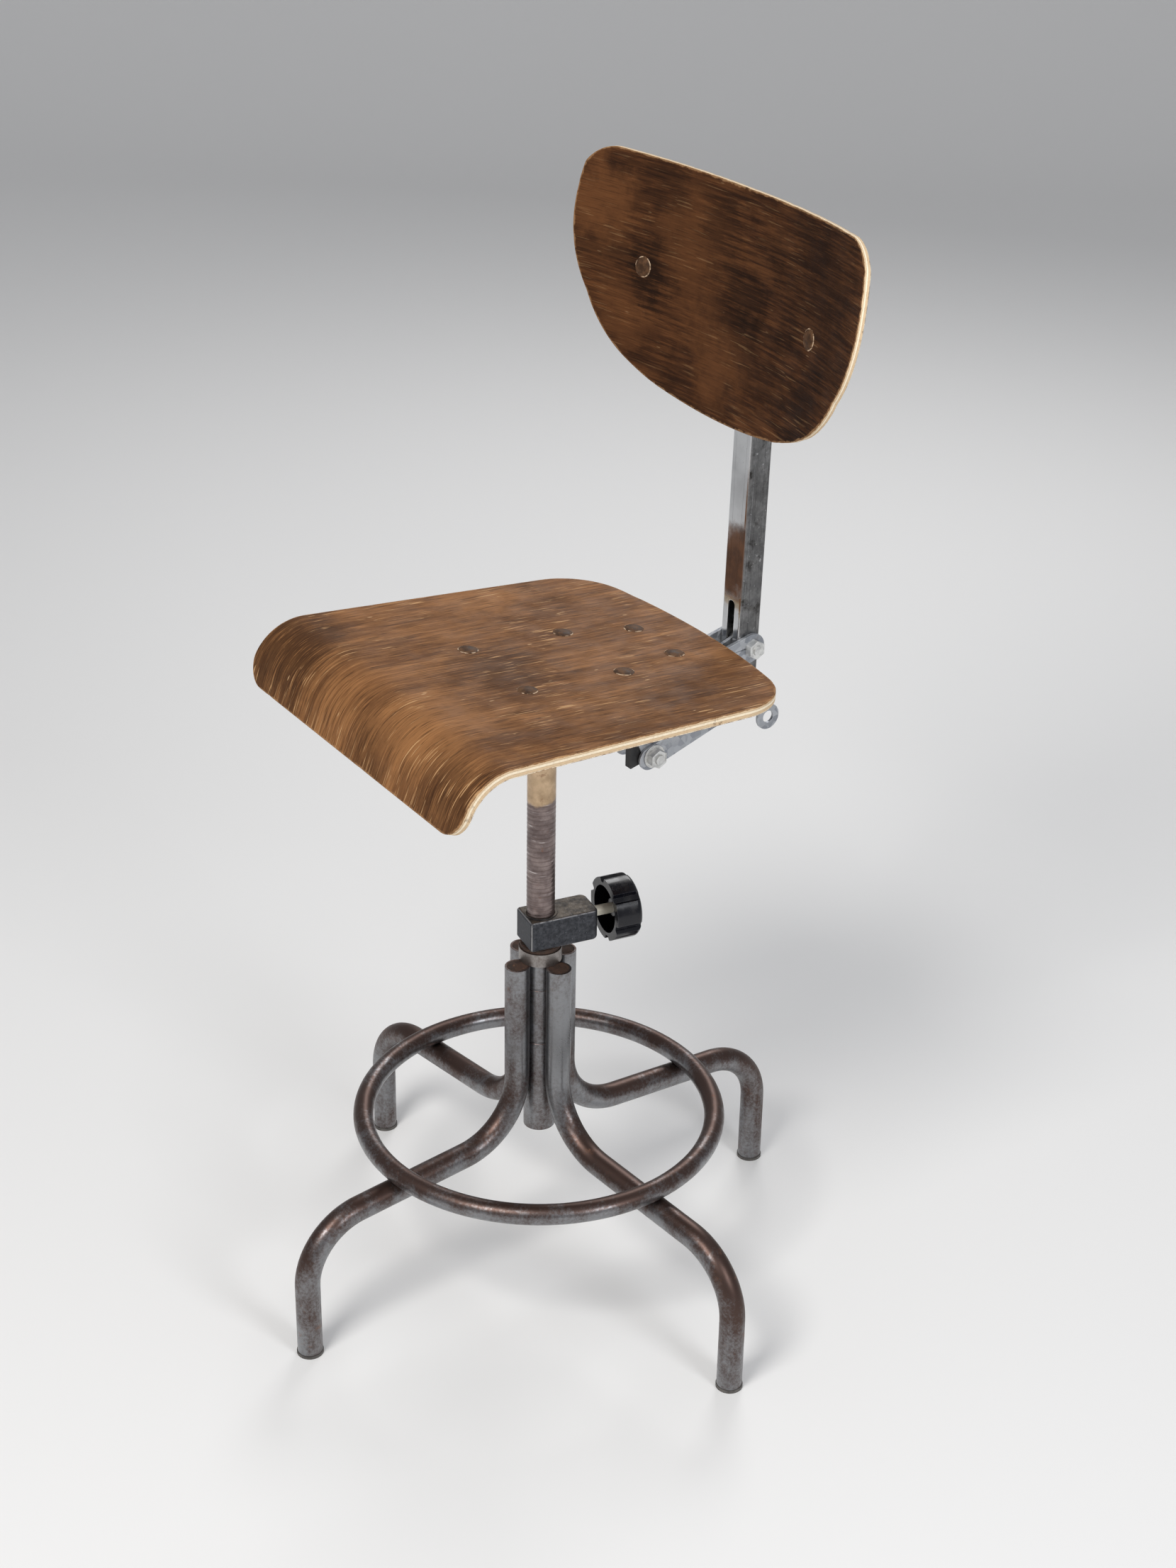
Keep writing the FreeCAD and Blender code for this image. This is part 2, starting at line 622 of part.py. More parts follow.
def make_cheek(label, side):
    """A side plate: hangs from the seat plate, runs back to the ear and down to the link bolt."""
    body = new_body(label)
    sketch = new_sketch(body, "YZ_Plane", side * (size("cheek_inner") + size("cheek_thick") / 2))
    top, back, low = ear_points()
    reach = size("ear_radius") / cosine(size("arm_slope"))
    y, z, lobe = size("link_bolt_y"), size("link_bolt_z"), size("link_half") - size("lobe_in")
    front, behind = size("cheek_front"), size("tail_end") - size("cheek_behind")
    arm, under = size("arm_start"), size("arm_under")
    add_outline(
        sketch, (front, under_plate(front)), (behind, under_plate(behind)),
        (arm, along_arm(arm) + reach), top, (back, low), (under, along_arm(under) - reach),
        (y + lobe, z), ((y, z - lobe), (y - lobe, z)),
        (y - size("web_ahead"), z + size("web_up")), (front, z + size("web_rise")),
        (front, under_plate(front)),
    )
    pad(body, sketch, "cheek_thick", both_ways=True)
    holes = new_sketch(body, "YZ_Plane")
    add_circle(holes, "pivot_dia", (size("rear_pivot_y"), size("rear_pivot_z")))
    add_circle(holes, "pivot_dia", (y, z))
    pocket(body, holes)
    sub_parts.append(body)


def make_doubler(label, side):
    """The inner of the two sheets at the ear."""
    body = new_body(label)
    middle = size("cheek_inner") - size("doubler_thick") / 2
    sketch = new_sketch(body, "YZ_Plane", side * middle)
    top, back, low = ear_points()
    reach = size("ear_radius") / cosine(size("arm_slope"))
    above, under = size("doubler_front"), size("arm_under")
    add_outline(
        sketch, (above, along_arm(above) + reach), top, (back, low),
        (under, along_arm(under) - reach), (above, along_arm(above) + reach),
    )
    pad(body, sketch, "doubler_thick", both_ways=True)
    hole = new_sketch(body, "YZ_Plane")
    add_circle(hole, "pivot_dia", (size("rear_pivot_y"), size("rear_pivot_z")))
    pocket(body, hole)
    sub_parts.append(body)


# The blade's free corners and the bumper's outline: from front to back, and height.
TONGUE_POINTS = ((209.0, 639.0), (225.0, 645.0), (226.0, 628.0), (205.0, 620.0), (100.0, 632.0))
BUMPER_POINTS = ((93.0, 541.0), (105.0, 544.0), (105.0, 556.0), (98.0, 600.0), (93.0, 600.0))


def make_tongue():
    """The blade that reaches from the seat plate into the slot of the post."""
    body = new_body("guide_tongue")
    sketch = new_sketch(body, "YZ_Plane")
    front, behind = TONGUE_POINTS[-1][0], size("tail_end") - size("cheek_behind")
    start = (front, under_plate(front))
    add_outline(sketch, start, (behind, under_plate(behind)), *TONGUE_POINTS, start)
    pad(body, sketch, "tongue_thick", both_ways=True)
    sub_parts.append(body)


def pivot_bolt(label, y, z, reach):
    """A hexagon bolt across the cheeks, head on the right, with its nut on the left."""
    head_at = frame((-reach, y, z), ALONG_X) * frame((0, 0, -size("pivot_nut")))
    head = hexagon("pivot_flats", "pivot_nut", head_at)
    shank = doc.addObject("Part::Cylinder", "Shank")
    bind(shank, Radius="pivot_dia / 2")
    shank.Height = 2 * reach + size("pivot_nut") + size("pivot_past")
    shank.Placement = frame((-reach, y, z), ALONG_X)
    keep(fuse(head, shank), label + "_bolt")
    keep(nut("pivot_flats", "pivot_dia", "pivot_nut", frame((reach, y, z), ALONG_X)), label + "_nut")


def make_bracket():
    for word, side in (("left", 1), ("right", -1)):
        make_cheek("cheek_" + word, side)
        make_doubler("ear_doubler_" + word, side)
    make_tongue()
    outer = size("cheek_inner") + size("cheek_thick")
    pivot_bolt("rear_pivot", size("rear_pivot_y"), size("rear_pivot_z"), outer)
    y, z = size("link_bolt_y"), size("link_bolt_z")
    plates = outer + size("link_gap") + size("link_thick") + size("link_gap")
    pivot_bolt("tilt", y, z, plates + size("link_washer_thick"))
    washers = [ring("link_washer", "pivot_dia", "link_washer_thick", frame((start, y, z), ALONG_X))
               for start in (plates, -plates - size("link_washer_thick"))]
    keep(group(*washers), "tilt_washers")
    keep(ring("pivot_dia + 2 * spacer_wall", "pivot_dia", "2 * cheek_inner",
              frame((-size("cheek_inner"), y, z), ALONG_X)), "tilt_spacer")
    bumper = new_body("rubber_bumper")
    sketch = new_sketch(bumper, "YZ_Plane", size("cheek_inner") - size("bumper_wide"))
    add_outline(sketch, *BUMPER_POINTS, BUMPER_POINTS[0])
    pad(bumper, sketch, "bumper_wide")
    sub_parts.append(bumper)


def make_link(label, side):
    """A slotted link from the tilt bolt to the foot of the post, with a pull eye."""
    body = new_body(label)
    middle = size("cheek_inner") + size("cheek_thick") + size("link_gap") + size("link_thick") / 2
    pin = Vector(size("link_pin_y"), size("link_pin_z"), 0)
    bolt = Vector(size("link_bolt_y"), size("link_bolt_z"), 0)
    eye = Vector(size("eye_y"), size("eye_z"), 0)
    way = (pin - bolt).normalize()
    nose = bolt - way * size("slot_fore")

    def strip(start, end, half):
        sketch = new_sketch(body, "YZ_Plane", side * middle)
        along = (end - start).normalize()
        over = Vector(-along.y, along.x, 0) * half
        corner = [start + over, end + over, end - over, start - over]
        tips = [end + along * half, start - along * half]
        flat = [(p.x, p.y) for p in corner]
        bend = [(p.x, p.y) for p in tips]
        add_outline(sketch, flat[0], flat[1], (bend[0], flat[2]), flat[3], (bend[1], flat[0]))
        return sketch

    pad(body, strip(nose, pin, size("link_half")), "link_thick", both_ways=True)
    pad(body, strip(pin, eye, size("eye_neck")), "link_thick", both_ways=True)
    disc = new_sketch(body, "YZ_Plane", side * middle)
    add_circle(disc, "eye_dia", (eye.x, eye.y))
    pad(body, disc, "link_thick", both_ways=True)
    holes = new_sketch(body, "YZ_Plane")
    add_circle(holes, "eye_hole", (eye.x, eye.y))
    add_circle(holes, "link_pin_dia + bore_gap", (pin.x, pin.y))
    pocket(body, holes)
    back = bolt + way * size("slot_aft")
    pocket(body, strip(nose, back, size("slot_half")), "2 * link_thick")
    sub_parts.append(body)


# ---------------------------------------------------------------- post and back rest

def post_frame(at=(0, 0, 0), turn=STILL):
    """On the rear pivot, Z up the post."""
    start = (0, size("rear_pivot_y"), size("rear_pivot_z"))
    return frame(start, Rotation(Vector(1, 0, 0), -size("post_lean"))) * frame(at, turn)


def back_frame(at=(0, 0, 0), turn=STILL):
    """On the front of the back rest between its bolts, Z up the board."""
    start = (0, size("back_y"), size("back_z"))
    return frame(start, Rotation(Vector(1, 0, 0), -size("back_lean"))) * frame(at, turn)


def board_frame(at=(0, 0, 0), turn=STILL):
    """The board's own frame: it sits a little crooked on its bracket."""
    crooked = (Rotation(Vector(0, 0, 1), size("board_turn"))
               * Rotation(Vector(0, 1, 0), size("board_roll")))
    lean = Rotation(Vector(1, 0, 0), -size("back_lean"))
    return frame((0, size("back_y"), size("back_z")), crooked * lean) * frame(at, turn)


def in_post(y, z):
    """A point of the chair's middle plane in the post's own frame."""
    point = post_frame().inverse().multVec(Vector(0, y, z))
    return (point.y, point.z)


def back_pivot():
    """Where the back rest's pivot lies in the chair's frame."""
    return back_frame().multVec(Vector(0, size("back_pivot_y"), 0))


def make_post():
    body = new_body("back_post")
    middle = size("post_deep") / 2 - size("post_front")
    base = new_sketch(body, "XY_Plane", -size("post_below"))
    half_x, half_y = size("post_wide") / 2, size("post_deep") / 2
    corners = [(-half_x, middle - half_y), (half_x, middle - half_y), (half_x, middle + half_y),
               (-half_x, middle + half_y)]
    add_outline(base, corners[0], *corners[1:], corners[0])
    pad(body, base, "post_below + post_above")
    round_edges(body, "post_corner", upright)
    bore = new_sketch(body, "XY_Plane")
    wall = size("post_wall")
    inner = [(x - math.copysign(wall, x), y - math.copysign(wall, y - middle)) for x, y in corners]
    add_outline(bore, inner[0], *inner[1:], inner[0])
    pocket(body, bore)
    slot = new_sketch(body, "XZ_Plane", size("post_front"))
    half, low, high = size("slot_wide") / 2, -size("slot_low"), size("slot_high")
    add_outline(slot, (half, low), (half, high - half), ((0.0, high), (-half, high - half)),
                (-half, low), ((0.0, low - half), (half, low)))
    pocket(body, slot, "4 * post_wall")
    holes = new_sketch(body, "YZ_Plane")
    add_circle(holes, "pivot_dia + bore_gap", (0.0, 0.0))
    add_circle(holes, "link_pin_dia", in_post(size("link_pin_y"), size("link_pin_z")))
    pivot = back_pivot()
    add_circle(holes, "back_pivot_dia + bore_gap", in_post(pivot.y, pivot.z))
    pocket(body, holes, "2 * post_wide")
    body.Placement = post_frame()
    sub_parts.append(body)

    inside = size("post_wide") / 2 - wall
    keep(ring("sleeve_dia", "pivot_dia + bore_gap", "post_wide - 2 * post_wall",
              post_frame((-inside, 0, 0), ALONG_X)), "pivot_sleeve")
    skin = post_frame((-half_x, middle - half_y, size("post_above")))
    lid = box("post_wide", "post_deep", "plug_depth", skin)
    edge = wall + size("bore_gap") / 2
    core = box("post_wide - 2 * post_wall - bore_gap", "post_deep - 2 * post_wall - bore_gap",
               "cap_high", skin * frame((edge, edge, -size("cap_high"))))
    keep(fuse(lid, core), "post_cap")

    pin_at = (0, size("link_pin_y"), size("link_pin_z"))
    outer = size("cheek_inner") + size("cheek_thick") + 2 * size("link_gap") + size("link_thick")
    shank = cylinder("link_pin_dia", "2 * (cheek_inner + cheek_thick + 2 * link_gap + link_thick)",
                     frame((-outer, pin_at[1], pin_at[2]), ALONG_X))
    heads = [cylinder("sleeve_dia", "plug_depth", frame((x, pin_at[1], pin_at[2]), ALONG_X))
             for x in (outer, -outer - size("plug_depth"))]
    keep(fuse(shank, *heads), "link_pin")
    spacers = []
    for start in (half_x, -size("cheek_inner") - size("cheek_thick")):
        spacers.append(ring("sleeve_dia", "link_pin_dia", "cheek_inner + cheek_thick - post_wide / 2",
                            frame((start, pin_at[1], pin_at[2]), ALONG_X)))
    keep(group(*spacers), "link_pin_spacers")


def add_band(sketch, inner, outer, half_wide):
    """A strip between two arcs about the back rest's centre of curvature."""
    centre = -size("back_radius")

    def on(radius, side):
        turn = math.asin(half_wide / size("back_radius")) * side
        return (radius * math.sin(turn), centre + radius * math.cos(turn))

    add_outline(sketch, on(inner, -1), (on(inner, 0), on(inner, 1)), on(outer, 1),
                (on(outer, 0), on(outer, -1)), on(inner, -1))


def round_bolt_frame(side, radius):
    """On a back-rest bolt's axis at a radius, Z towards the sitter."""
    centre = board_frame((0, -size("back_radius"), 0))
    turn = -side * math.degrees(math.asin(size("back_bolt_x") / size("back_radius")))
    return centre * frame(turn=Rotation(Vector(0, 0, 1), turn)) * frame((0, radius, 0), TO_SITTER)


# Half the back board's edge, from the top's middle round to the bottom's middle: each
# arc is a point on it and its end, across and up from the board's middle.
BACK_TOP = (0.0, 103.2)
BACK_ARCS = (
    ((90.0, 103.6), (177.3, 103.3)), ((198.5, 95.6), (211.7, 82.5)),
    ((215.7, 63.5), (217.4, 44.2)), ((214.9, 10.2), (191.9, -38.5)),
    ((167.7, -69.7), (131.5, -92.5)), ((114.5, -99.0), (94.7, -104.8)),
    ((48.0, -111.6), (0.0, -113.9)),
)


def make_back_board():
    curve = new_body("BackCurve")
    band = new_sketch(curve, "XY_Plane")
    radius, thick = size("back_radius"), size("back_thick")
    add_band(band, radius, radius + thick, 2 * size("back_bolt_x"))
    pad(curve, band, "2 * back_bolt_x", both_ways=True)

    face = new_body("BackFace")
    sketch = new_sketch(face, "XZ_Plane")
    ends = [BACK_TOP] + [end for middle, end in BACK_ARCS]
    mirrored = [((-middle[0], middle[1]), (-start[0], start[1]))
                for (middle, end), start in zip(reversed(BACK_ARCS), reversed(ends[:-1]))]
    add_outline(sketch, BACK_TOP, *BACK_ARCS, *mirrored)
    pad(face, sketch, "2 * back_bolt_x", both_ways=True)
    for body in (curve, face):
        body.Placement = board_frame()
    through = [cylinder("bolt_dia", "4 * back_thick", round_bolt_frame(side, radius + 2 * thick))
               for side in (-1, 1)]
    keep(cut(common(curve, face), *through), "back_board")


def make_back_strap():
    band_body = new_body("StrapBand")
    band = new_sketch(band_body, "XY_Plane")
    skin = size("back_radius") + size("back_thick")
    add_band(band, skin, skin + size("strap_thick"), size("strap_half"))
    pad(band_body, band, "strap_high", both_ways=True)
    end = size("strap_half") - size("pivot_dia")
    round_edges(band_body, "pivot_dia", lambda m, ends: abs(m.x) > end and ends.ZLength < TINY
                and ends.XLength < 2)
    band_body.Placement = board_frame()
    through = [cylinder("bolt_dia", "4 * back_thick",
                        round_bolt_frame(side, skin + size("back_thick"))) for side in (-1, 1)]
    keep(cut(band_body, *through), "back_strap")

    body = new_body("back_bracket")
    start = size("back_thick") + size("strap_thick") + size("lug_gap") / 2
    inner = size("post_wide") / 2 + size("lug_gap")
    outer, thick, reach = inner + size("lug_thick"), size("lug_thick"), size("lug_reach")
    channel = new_sketch(body, "XY_Plane")
    add_outline(channel, (-outer, start), (outer, start), (outer, reach), (inner, reach),
                (inner, start + thick), (-inner, start + thick), (-inner, reach), (-outer, reach),
                (-outer, start))
    pad(body, channel, "strap_high - plate_thick", both_ways=True)
    round_edges(body, "pivot_dia", lambda m, ends: abs(m.y - reach) < TINY and ends.XLength > 1
                and ends.ZLength < TINY)
    hole = new_sketch(body, "YZ_Plane")
    add_circle(hole, "back_pivot_dia", (size("back_pivot_y"), 0.0))
    pocket(body, hole, "4 * post_wide")
    body.Placement = back_frame()
    sub_parts.append(body)

    bolts, nuts = [], []
    rear = skin + size("strap_thick")
    for side in (-1, 1):
        bolts.append(domed_bolt("back_thick + strap_thick + nut_high + thread_past",
                                round_bolt_frame(side, size("back_radius") - size("bore_gap"))))
        nuts.append(nut("nut_flats", "bolt_dia", "nut_high",
                        round_bolt_frame(side, rear + size("nut_high"))))
    keep(group(*bolts), "back_bolts")
    keep(group(*nuts), "back_nuts")
    at = back_frame((-outer, size("back_pivot_y"), 0), ALONG_X)
    head = hexagon("nut_flats", "nut_high", at * frame((0, 0, -size("nut_high"))))
    long = "post_wide + 2 * (lug_gap + lug_thick) + nut_high + pivot_past"
    shank = cylinder("back_pivot_dia", long, at)
    keep(fuse(head, shank), "back_pivot_bolt")
    keep(nut("nut_flats", "back_pivot_dia", "nut_high", at * frame((0, 0, 2 * outer))),
         "back_pivot_nut")


# ---------------------------------------------------------------- build and export

make_legs()
make_foot_ring()
make_column()
make_block()
make_lock()
make_spindle()
make_seat_board()
make_seat_plate()
make_bracket()
make_link("tilt_link_left", 1)
make_link("tilt_link_right", -1)
make_post()
make_back_board()
make_back_strap()
doc.recompute()

for item in doc.Objects:
    if "Invalid" in item.State or "Error" in item.State:
        raise RuntimeError("%s (%s) failed: %s" % (item.Name, item.Label, item.State))
for item in sub_parts:
    if item.Shape.isNull() or not item.Shape.isValid():
        raise RuntimeError("%s has no sound shape" % item.Label)

os.makedirs("parts", exist_ok=True)
for item in sub_parts:
    item.Shape.exportStep("parts/%s.step" % item.Label)
    print("%-22s %2d solid %10.1f mm3" % (item.Label, len(item.Shape.Solids), item.Shape.Volume))
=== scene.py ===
import json
import math

import bmesh
import bpy
from mathutils import Matrix, Vector, noise


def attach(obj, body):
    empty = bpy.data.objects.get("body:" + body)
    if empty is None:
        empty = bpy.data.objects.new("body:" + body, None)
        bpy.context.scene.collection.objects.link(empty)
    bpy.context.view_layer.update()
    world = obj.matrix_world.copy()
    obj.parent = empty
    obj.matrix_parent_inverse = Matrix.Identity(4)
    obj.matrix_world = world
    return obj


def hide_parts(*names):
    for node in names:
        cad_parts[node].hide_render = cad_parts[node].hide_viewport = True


# The drafting chair's looks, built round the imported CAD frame. Metres, +Z up, the
# sitter looks along -Y. The two plywood boards and the threaded spindle get finer
# meshes of their own; the other CAD nodes keep their shape, with their edges eased.
# Every surface has a procedural material. Colours are linear RGB.

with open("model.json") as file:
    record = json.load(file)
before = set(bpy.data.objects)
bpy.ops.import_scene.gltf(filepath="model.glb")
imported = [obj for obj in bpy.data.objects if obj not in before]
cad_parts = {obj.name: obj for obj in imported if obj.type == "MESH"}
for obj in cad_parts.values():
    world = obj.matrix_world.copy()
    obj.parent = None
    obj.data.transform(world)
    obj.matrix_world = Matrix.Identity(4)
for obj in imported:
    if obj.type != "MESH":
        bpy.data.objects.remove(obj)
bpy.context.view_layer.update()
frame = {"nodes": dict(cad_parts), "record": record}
nodes = frame["nodes"]

MM = 0.001
X, Y, Z = 0, 1, 2

# The spindle's thread ends here, and its plain tan part goes on above.
SCREW_TOP = 0.529
# The clamp block in its own turned frame: ends along it, half its width, bottom and top.
BLOCK_TURN = -79.6
BLOCK_ENDS, BLOCK_HALF, BLOCK_HEIGHTS = (-0.018, 0.055), 0.019, (0.370, 0.403)
# The brown stain on the post's front fades out between these heights.
STAIN_FOOT, STAIN_TOP = (0.682, 0.70), (0.765, 0.742)


# ---------------------------------------------------------------- node helpers

class Shader:
    """A material's node tree, with short calls for the nodes it is built from."""

    def __init__(self, name):
        self.material = bpy.data.materials.new(name)
        self.material.use_nodes = True
        self.tree = self.material.node_tree
        self.tree.nodes.clear()
        output = self.tree.nodes.new("ShaderNodeOutputMaterial")
        self.bsdf = self.tree.nodes.new("ShaderNodeBsdfPrincipled")
        self.tree.links.new(self.bsdf.outputs[0], output.inputs[0])
        self.place = self.tree.nodes.new("ShaderNodeTexCoord").outputs["Object"]

    def feed(self, socket, value):
        """Links a socket to another, or sets its value."""
        if isinstance(value, bpy.types.NodeSocket):
            self.tree.links.new(value, socket)
        elif hasattr(value, "__len__") and len(value) == 3 and socket.type == "RGBA":
            socket.default_value = (*value, 1.0)
        else:
            socket.default_value = value

    def node(self, kind, output=0, settings=None, **inputs):
        """A new node's output. An input is named with _ for a space, or _0, _1 by number."""
        item = self.tree.nodes.new(kind)
        for name, value in (settings or {}).items():
            setattr(item, name, value)
        for name, value in inputs.items():
            key = int(name[1:]) if name[0] == "_" else name.replace("_", " ")
            self.feed(item.inputs[key], value)
        return item.outputs[output]

    def set(self, **inputs):
        """Feeds the surface shader's own inputs."""
        for name, value in inputs.items():
            self.feed(self.bsdf.inputs[name.replace("_", " ")], value)

    def stretch(self, scale, turn=0.0, shift=(0, 0, 0)):
        """The place on the object, turned by degrees about Z, shifted and then scaled."""
        turned = self.node("ShaderNodeMapping", Vector=self.place,
                           Rotation=(0, 0, math.radians(turn)), Location=shift)
        return self.node("ShaderNodeMapping", Vector=turned, Scale=scale)

    def split(self, vector, axis):
        """One component of a vector."""
        return self.node("ShaderNodeSeparateXYZ", axis, Vector=vector)

    def noise(self, scale, detail=4.0, rough=0.55, vector=None, distortion=0.0):
        return self.node("ShaderNodeTexNoise", Vector=vector or self.place, Scale=scale,
                         Detail=detail, Roughness=rough, Distortion=distortion)

    def cells(self, scale, vector=None, output="Distance"):
        return self.node("ShaderNodeTexVoronoi", output, Vector=vector or self.place, Scale=scale)

    def attribute(self, name, output="Fac"):
        return self.node("ShaderNodeAttribute", output, {"attribute_name": name})

    def math(self, kind, a, b=0.0, clamp=False):
        return self.node("ShaderNodeMath", 0, {"operation": kind, "use_clamp": clamp}, _0=a, _1=b)

    def times(self, a, b):
        return self.math("MULTIPLY", a, b)

    def inside(self, value, low, high):
        """How far in a value lies from the nearer end of a span."""
        return self.math("MINIMUM", self.math("SUBTRACT", value, low),
                         self.math("SUBTRACT", high, value))

    def ramp(self, value, low, high, to_low=0.0, to_high=1.0):
        """value from low to high becomes to_low to to_high, held beyond them."""
        return self.node("ShaderNodeMapRange", 0, {"interpolation_type": "SMOOTHSTEP"}, _0=value,
                         _1=low, _2=high, _3=to_low, _4=to_high)

    def mix(self, amount, a, b):
        """Colour a, going over to colour b as amount goes from 0 to 1."""
        item = self.tree.nodes.new("ShaderNodeMix")
        item.data_type = "RGBA"
        for socket, value in ((item.inputs[0], amount), (item.inputs[6], a), (item.inputs[7], b)):
            self.feed(socket, value)
        return item.outputs[2]

    def bump(self, height, strength, distance):
        return self.node("ShaderNodeBump", 0, Height=height, Strength=strength, Distance=distance)

    def edge_wear_and_highlight(self, radius, low=0.0, high=0.12):
        """1 on sharp outer edges, 0 on flats: how far a bevelled normal leaves the surface's."""
        rounded = self.node("ShaderNodeBevel", 0, {"samples": 6}, Radius=radius)
        normal = self.node("ShaderNodeNewGeometry", "Normal")
        agree = self.node("ShaderNodeVectorMath", "Value", {"operation": "DOT_PRODUCT"},
                          _0=rounded, _1=normal)
        return self.ramp(self.math("SUBTRACT", 1.0, agree), low, high)


# ---------------------------------------------------------------- materials

def plywood(name, dark, mid, light, grain, patches, wear, contrast):
    """Stained veneer with streaks, darker and lighter patches and scratches, and pale edges.

    The mesh carries "flat", the place on the sheet before it was bent, "depth", 0 on the
    front and 1 on the back, and "edge", the distance from the outline in metres. grain
    turns (fine, long) scales into a scale vector, wear is the strength of the scratches
    and contrast the strength of the finest grain.
    """
    s = Shader(name)
    s.place = s.attribute("flat", "Vector")
    depth, edge = s.attribute("depth"), s.attribute("edge")
    hair = s.noise(1.0, 3.0, 0.6, s.stretch(grain(640.0, 30.0)))
    fibres = s.noise(1.0, 6.0, 0.7, s.stretch(grain(210.0, 11.0)), 0.4)
    bands = s.noise(1.0, 3.0, 0.5, s.stretch(grain(46.0, 5.0)), 0.8)
    cloud = s.noise(9.0, 7.0, 0.68)
    tone = s.mix(s.ramp(fibres, 0.40, 0.62), mid, light)
    tone = s.mix(s.ramp(bands, 0.38, 0.68, 0.0, 0.55), tone, dark)
    tone = s.mix(s.ramp(cloud, 0.44, 0.62, 0.0, 0.5), tone, dark)
    ragged = s.math("ADD", s.ramp(s.noise(24.0, 6.0, 0.66), 0.2, 0.8, -0.028, 0.028),
                    s.ramp(fibres, 0.3, 0.7, -0.012, 0.012))
    shades = {"dark": tuple(0.35 * c for c in dark), "light": tuple(1.18 * c for c in light)}
    for centre, radius, strength, kind in patches:
        away = s.node("ShaderNodeVectorMath", "Value", {"operation": "DISTANCE"},
                      _0=s.place, _1=(*centre, 0.0))
        spot = s.ramp(s.math("ADD", away, ragged), radius, radius * 0.2, 0.0, strength)
        tone = s.mix(spot, tone, shades[kind])
    tone = s.mix(s.ramp(hair, 0.47, 0.34, 0.0, 0.75 * contrast), tone, shades["dark"])
    bright = tuple(1.45 * c for c in light)
    tone = s.mix(s.ramp(hair, 0.57, 0.68, 0.0, 0.6 * contrast), tone, bright)

    line = s.stretch(grain(520.0, 26.0), shift=(0.3, 0.1, 0.2))
    scratch = s.ramp(s.noise(1.0, 1.0, 0.4, line), 0.64, 0.68)
    worn = s.ramp(s.noise(13.0, 4.0, 0.62), 0.47, 0.60)
    near_rim = s.ramp(edge, 0.035, 0.0, 0.0, 0.5)
    scratch = s.math("MULTIPLY", scratch, s.math("ADD", worn, near_rim), True)
    tone = s.mix(s.times(scratch, wear), tone, (0.56, 0.33, 0.155))
    fleck = s.ramp(s.cells(150.0, s.stretch(grain(1.0, 0.22))), 0.12, 0.05)
    fleck = s.times(fleck, s.ramp(s.noise(26.0, 3.0), 0.54, 0.62))
    tone = s.mix(s.times(fleck, wear), tone, (0.66, 0.43, 0.23))
    knot = s.ramp(s.cells(260.0), 0.10, 0.05)
    knot = s.times(knot, s.ramp(s.noise(17.0, 2.0), 0.62, 0.70))
    tone = s.mix(s.times(knot, 0.8), tone, (0.012, 0.007, 0.005))
    fray = s.ramp(s.noise(90.0, 5.0, 0.7), 0.3, 0.7, -0.0010, 0.0012)
    rim = s.ramp(s.math("ADD", edge, fray), 0.0016, 0.0002, 0.0, 0.5)
    tone = s.mix(rim, tone, (0.42, 0.24, 0.115))

    # the sawn edge: pale veneers of alternate grain between thin glue lines
    layers = s.math("FRACT", s.times(depth, 3.5))
    glue = s.ramp(s.math("ABSOLUTE", s.math("SUBTRACT", layers, 0.5)), 0.40, 0.49)
    odd = s.ramp(s.math("FRACT", s.times(depth, 1.75)), 0.47, 0.53)
    sawn = s.mix(odd, (0.70, 0.52, 0.33), (0.93, 0.80, 0.60))
    sawn = s.mix(s.ramp(s.noise(300.0, 6.0, 0.72), 0.45, 0.75, 0.0, 0.35), sawn, (0.46, 0.29, 0.15))
    sawn = s.mix(s.times(glue, 0.65), sawn, (0.34, 0.20, 0.10))
    dirt = s.ramp(s.noise(48.0, 6.0, 0.7), 0.61, 0.72, 0.0, 0.7)
    sawn = s.mix(dirt, sawn, (0.14, 0.07, 0.035))
    shown = s.math("ADD", depth, s.ramp(s.noise(150.0, 5.0, 0.7), 0.3, 0.7, -0.05, 0.06))
    on_edge = s.times(s.ramp(shown, 0.07, 0.12), s.ramp(shown, 0.96, 0.92))
    s.set(Base_Color=s.mix(on_edge, tone, sawn))
    gloss = s.ramp(s.noise(34.0, 5.0), 0.3, 0.7, 0.50, 0.68)
    s.set(Roughness=s.math("ADD", gloss, s.times(on_edge, 0.3)))
    relief = s.math("ADD", s.times(hair, 0.7), s.times(fibres, 0.5))
    relief = s.math("SUBTRACT", relief, s.times(scratch, 0.7))
    relief = s.math("SUBTRACT", relief, s.times(s.times(glue, on_edge), 0.7))
    s.set(Normal=s.bump(relief, 0.45, 0.0006))
    s.bsdf.inputs["Specular IOR Level"].default_value = 0.10
    return s.material


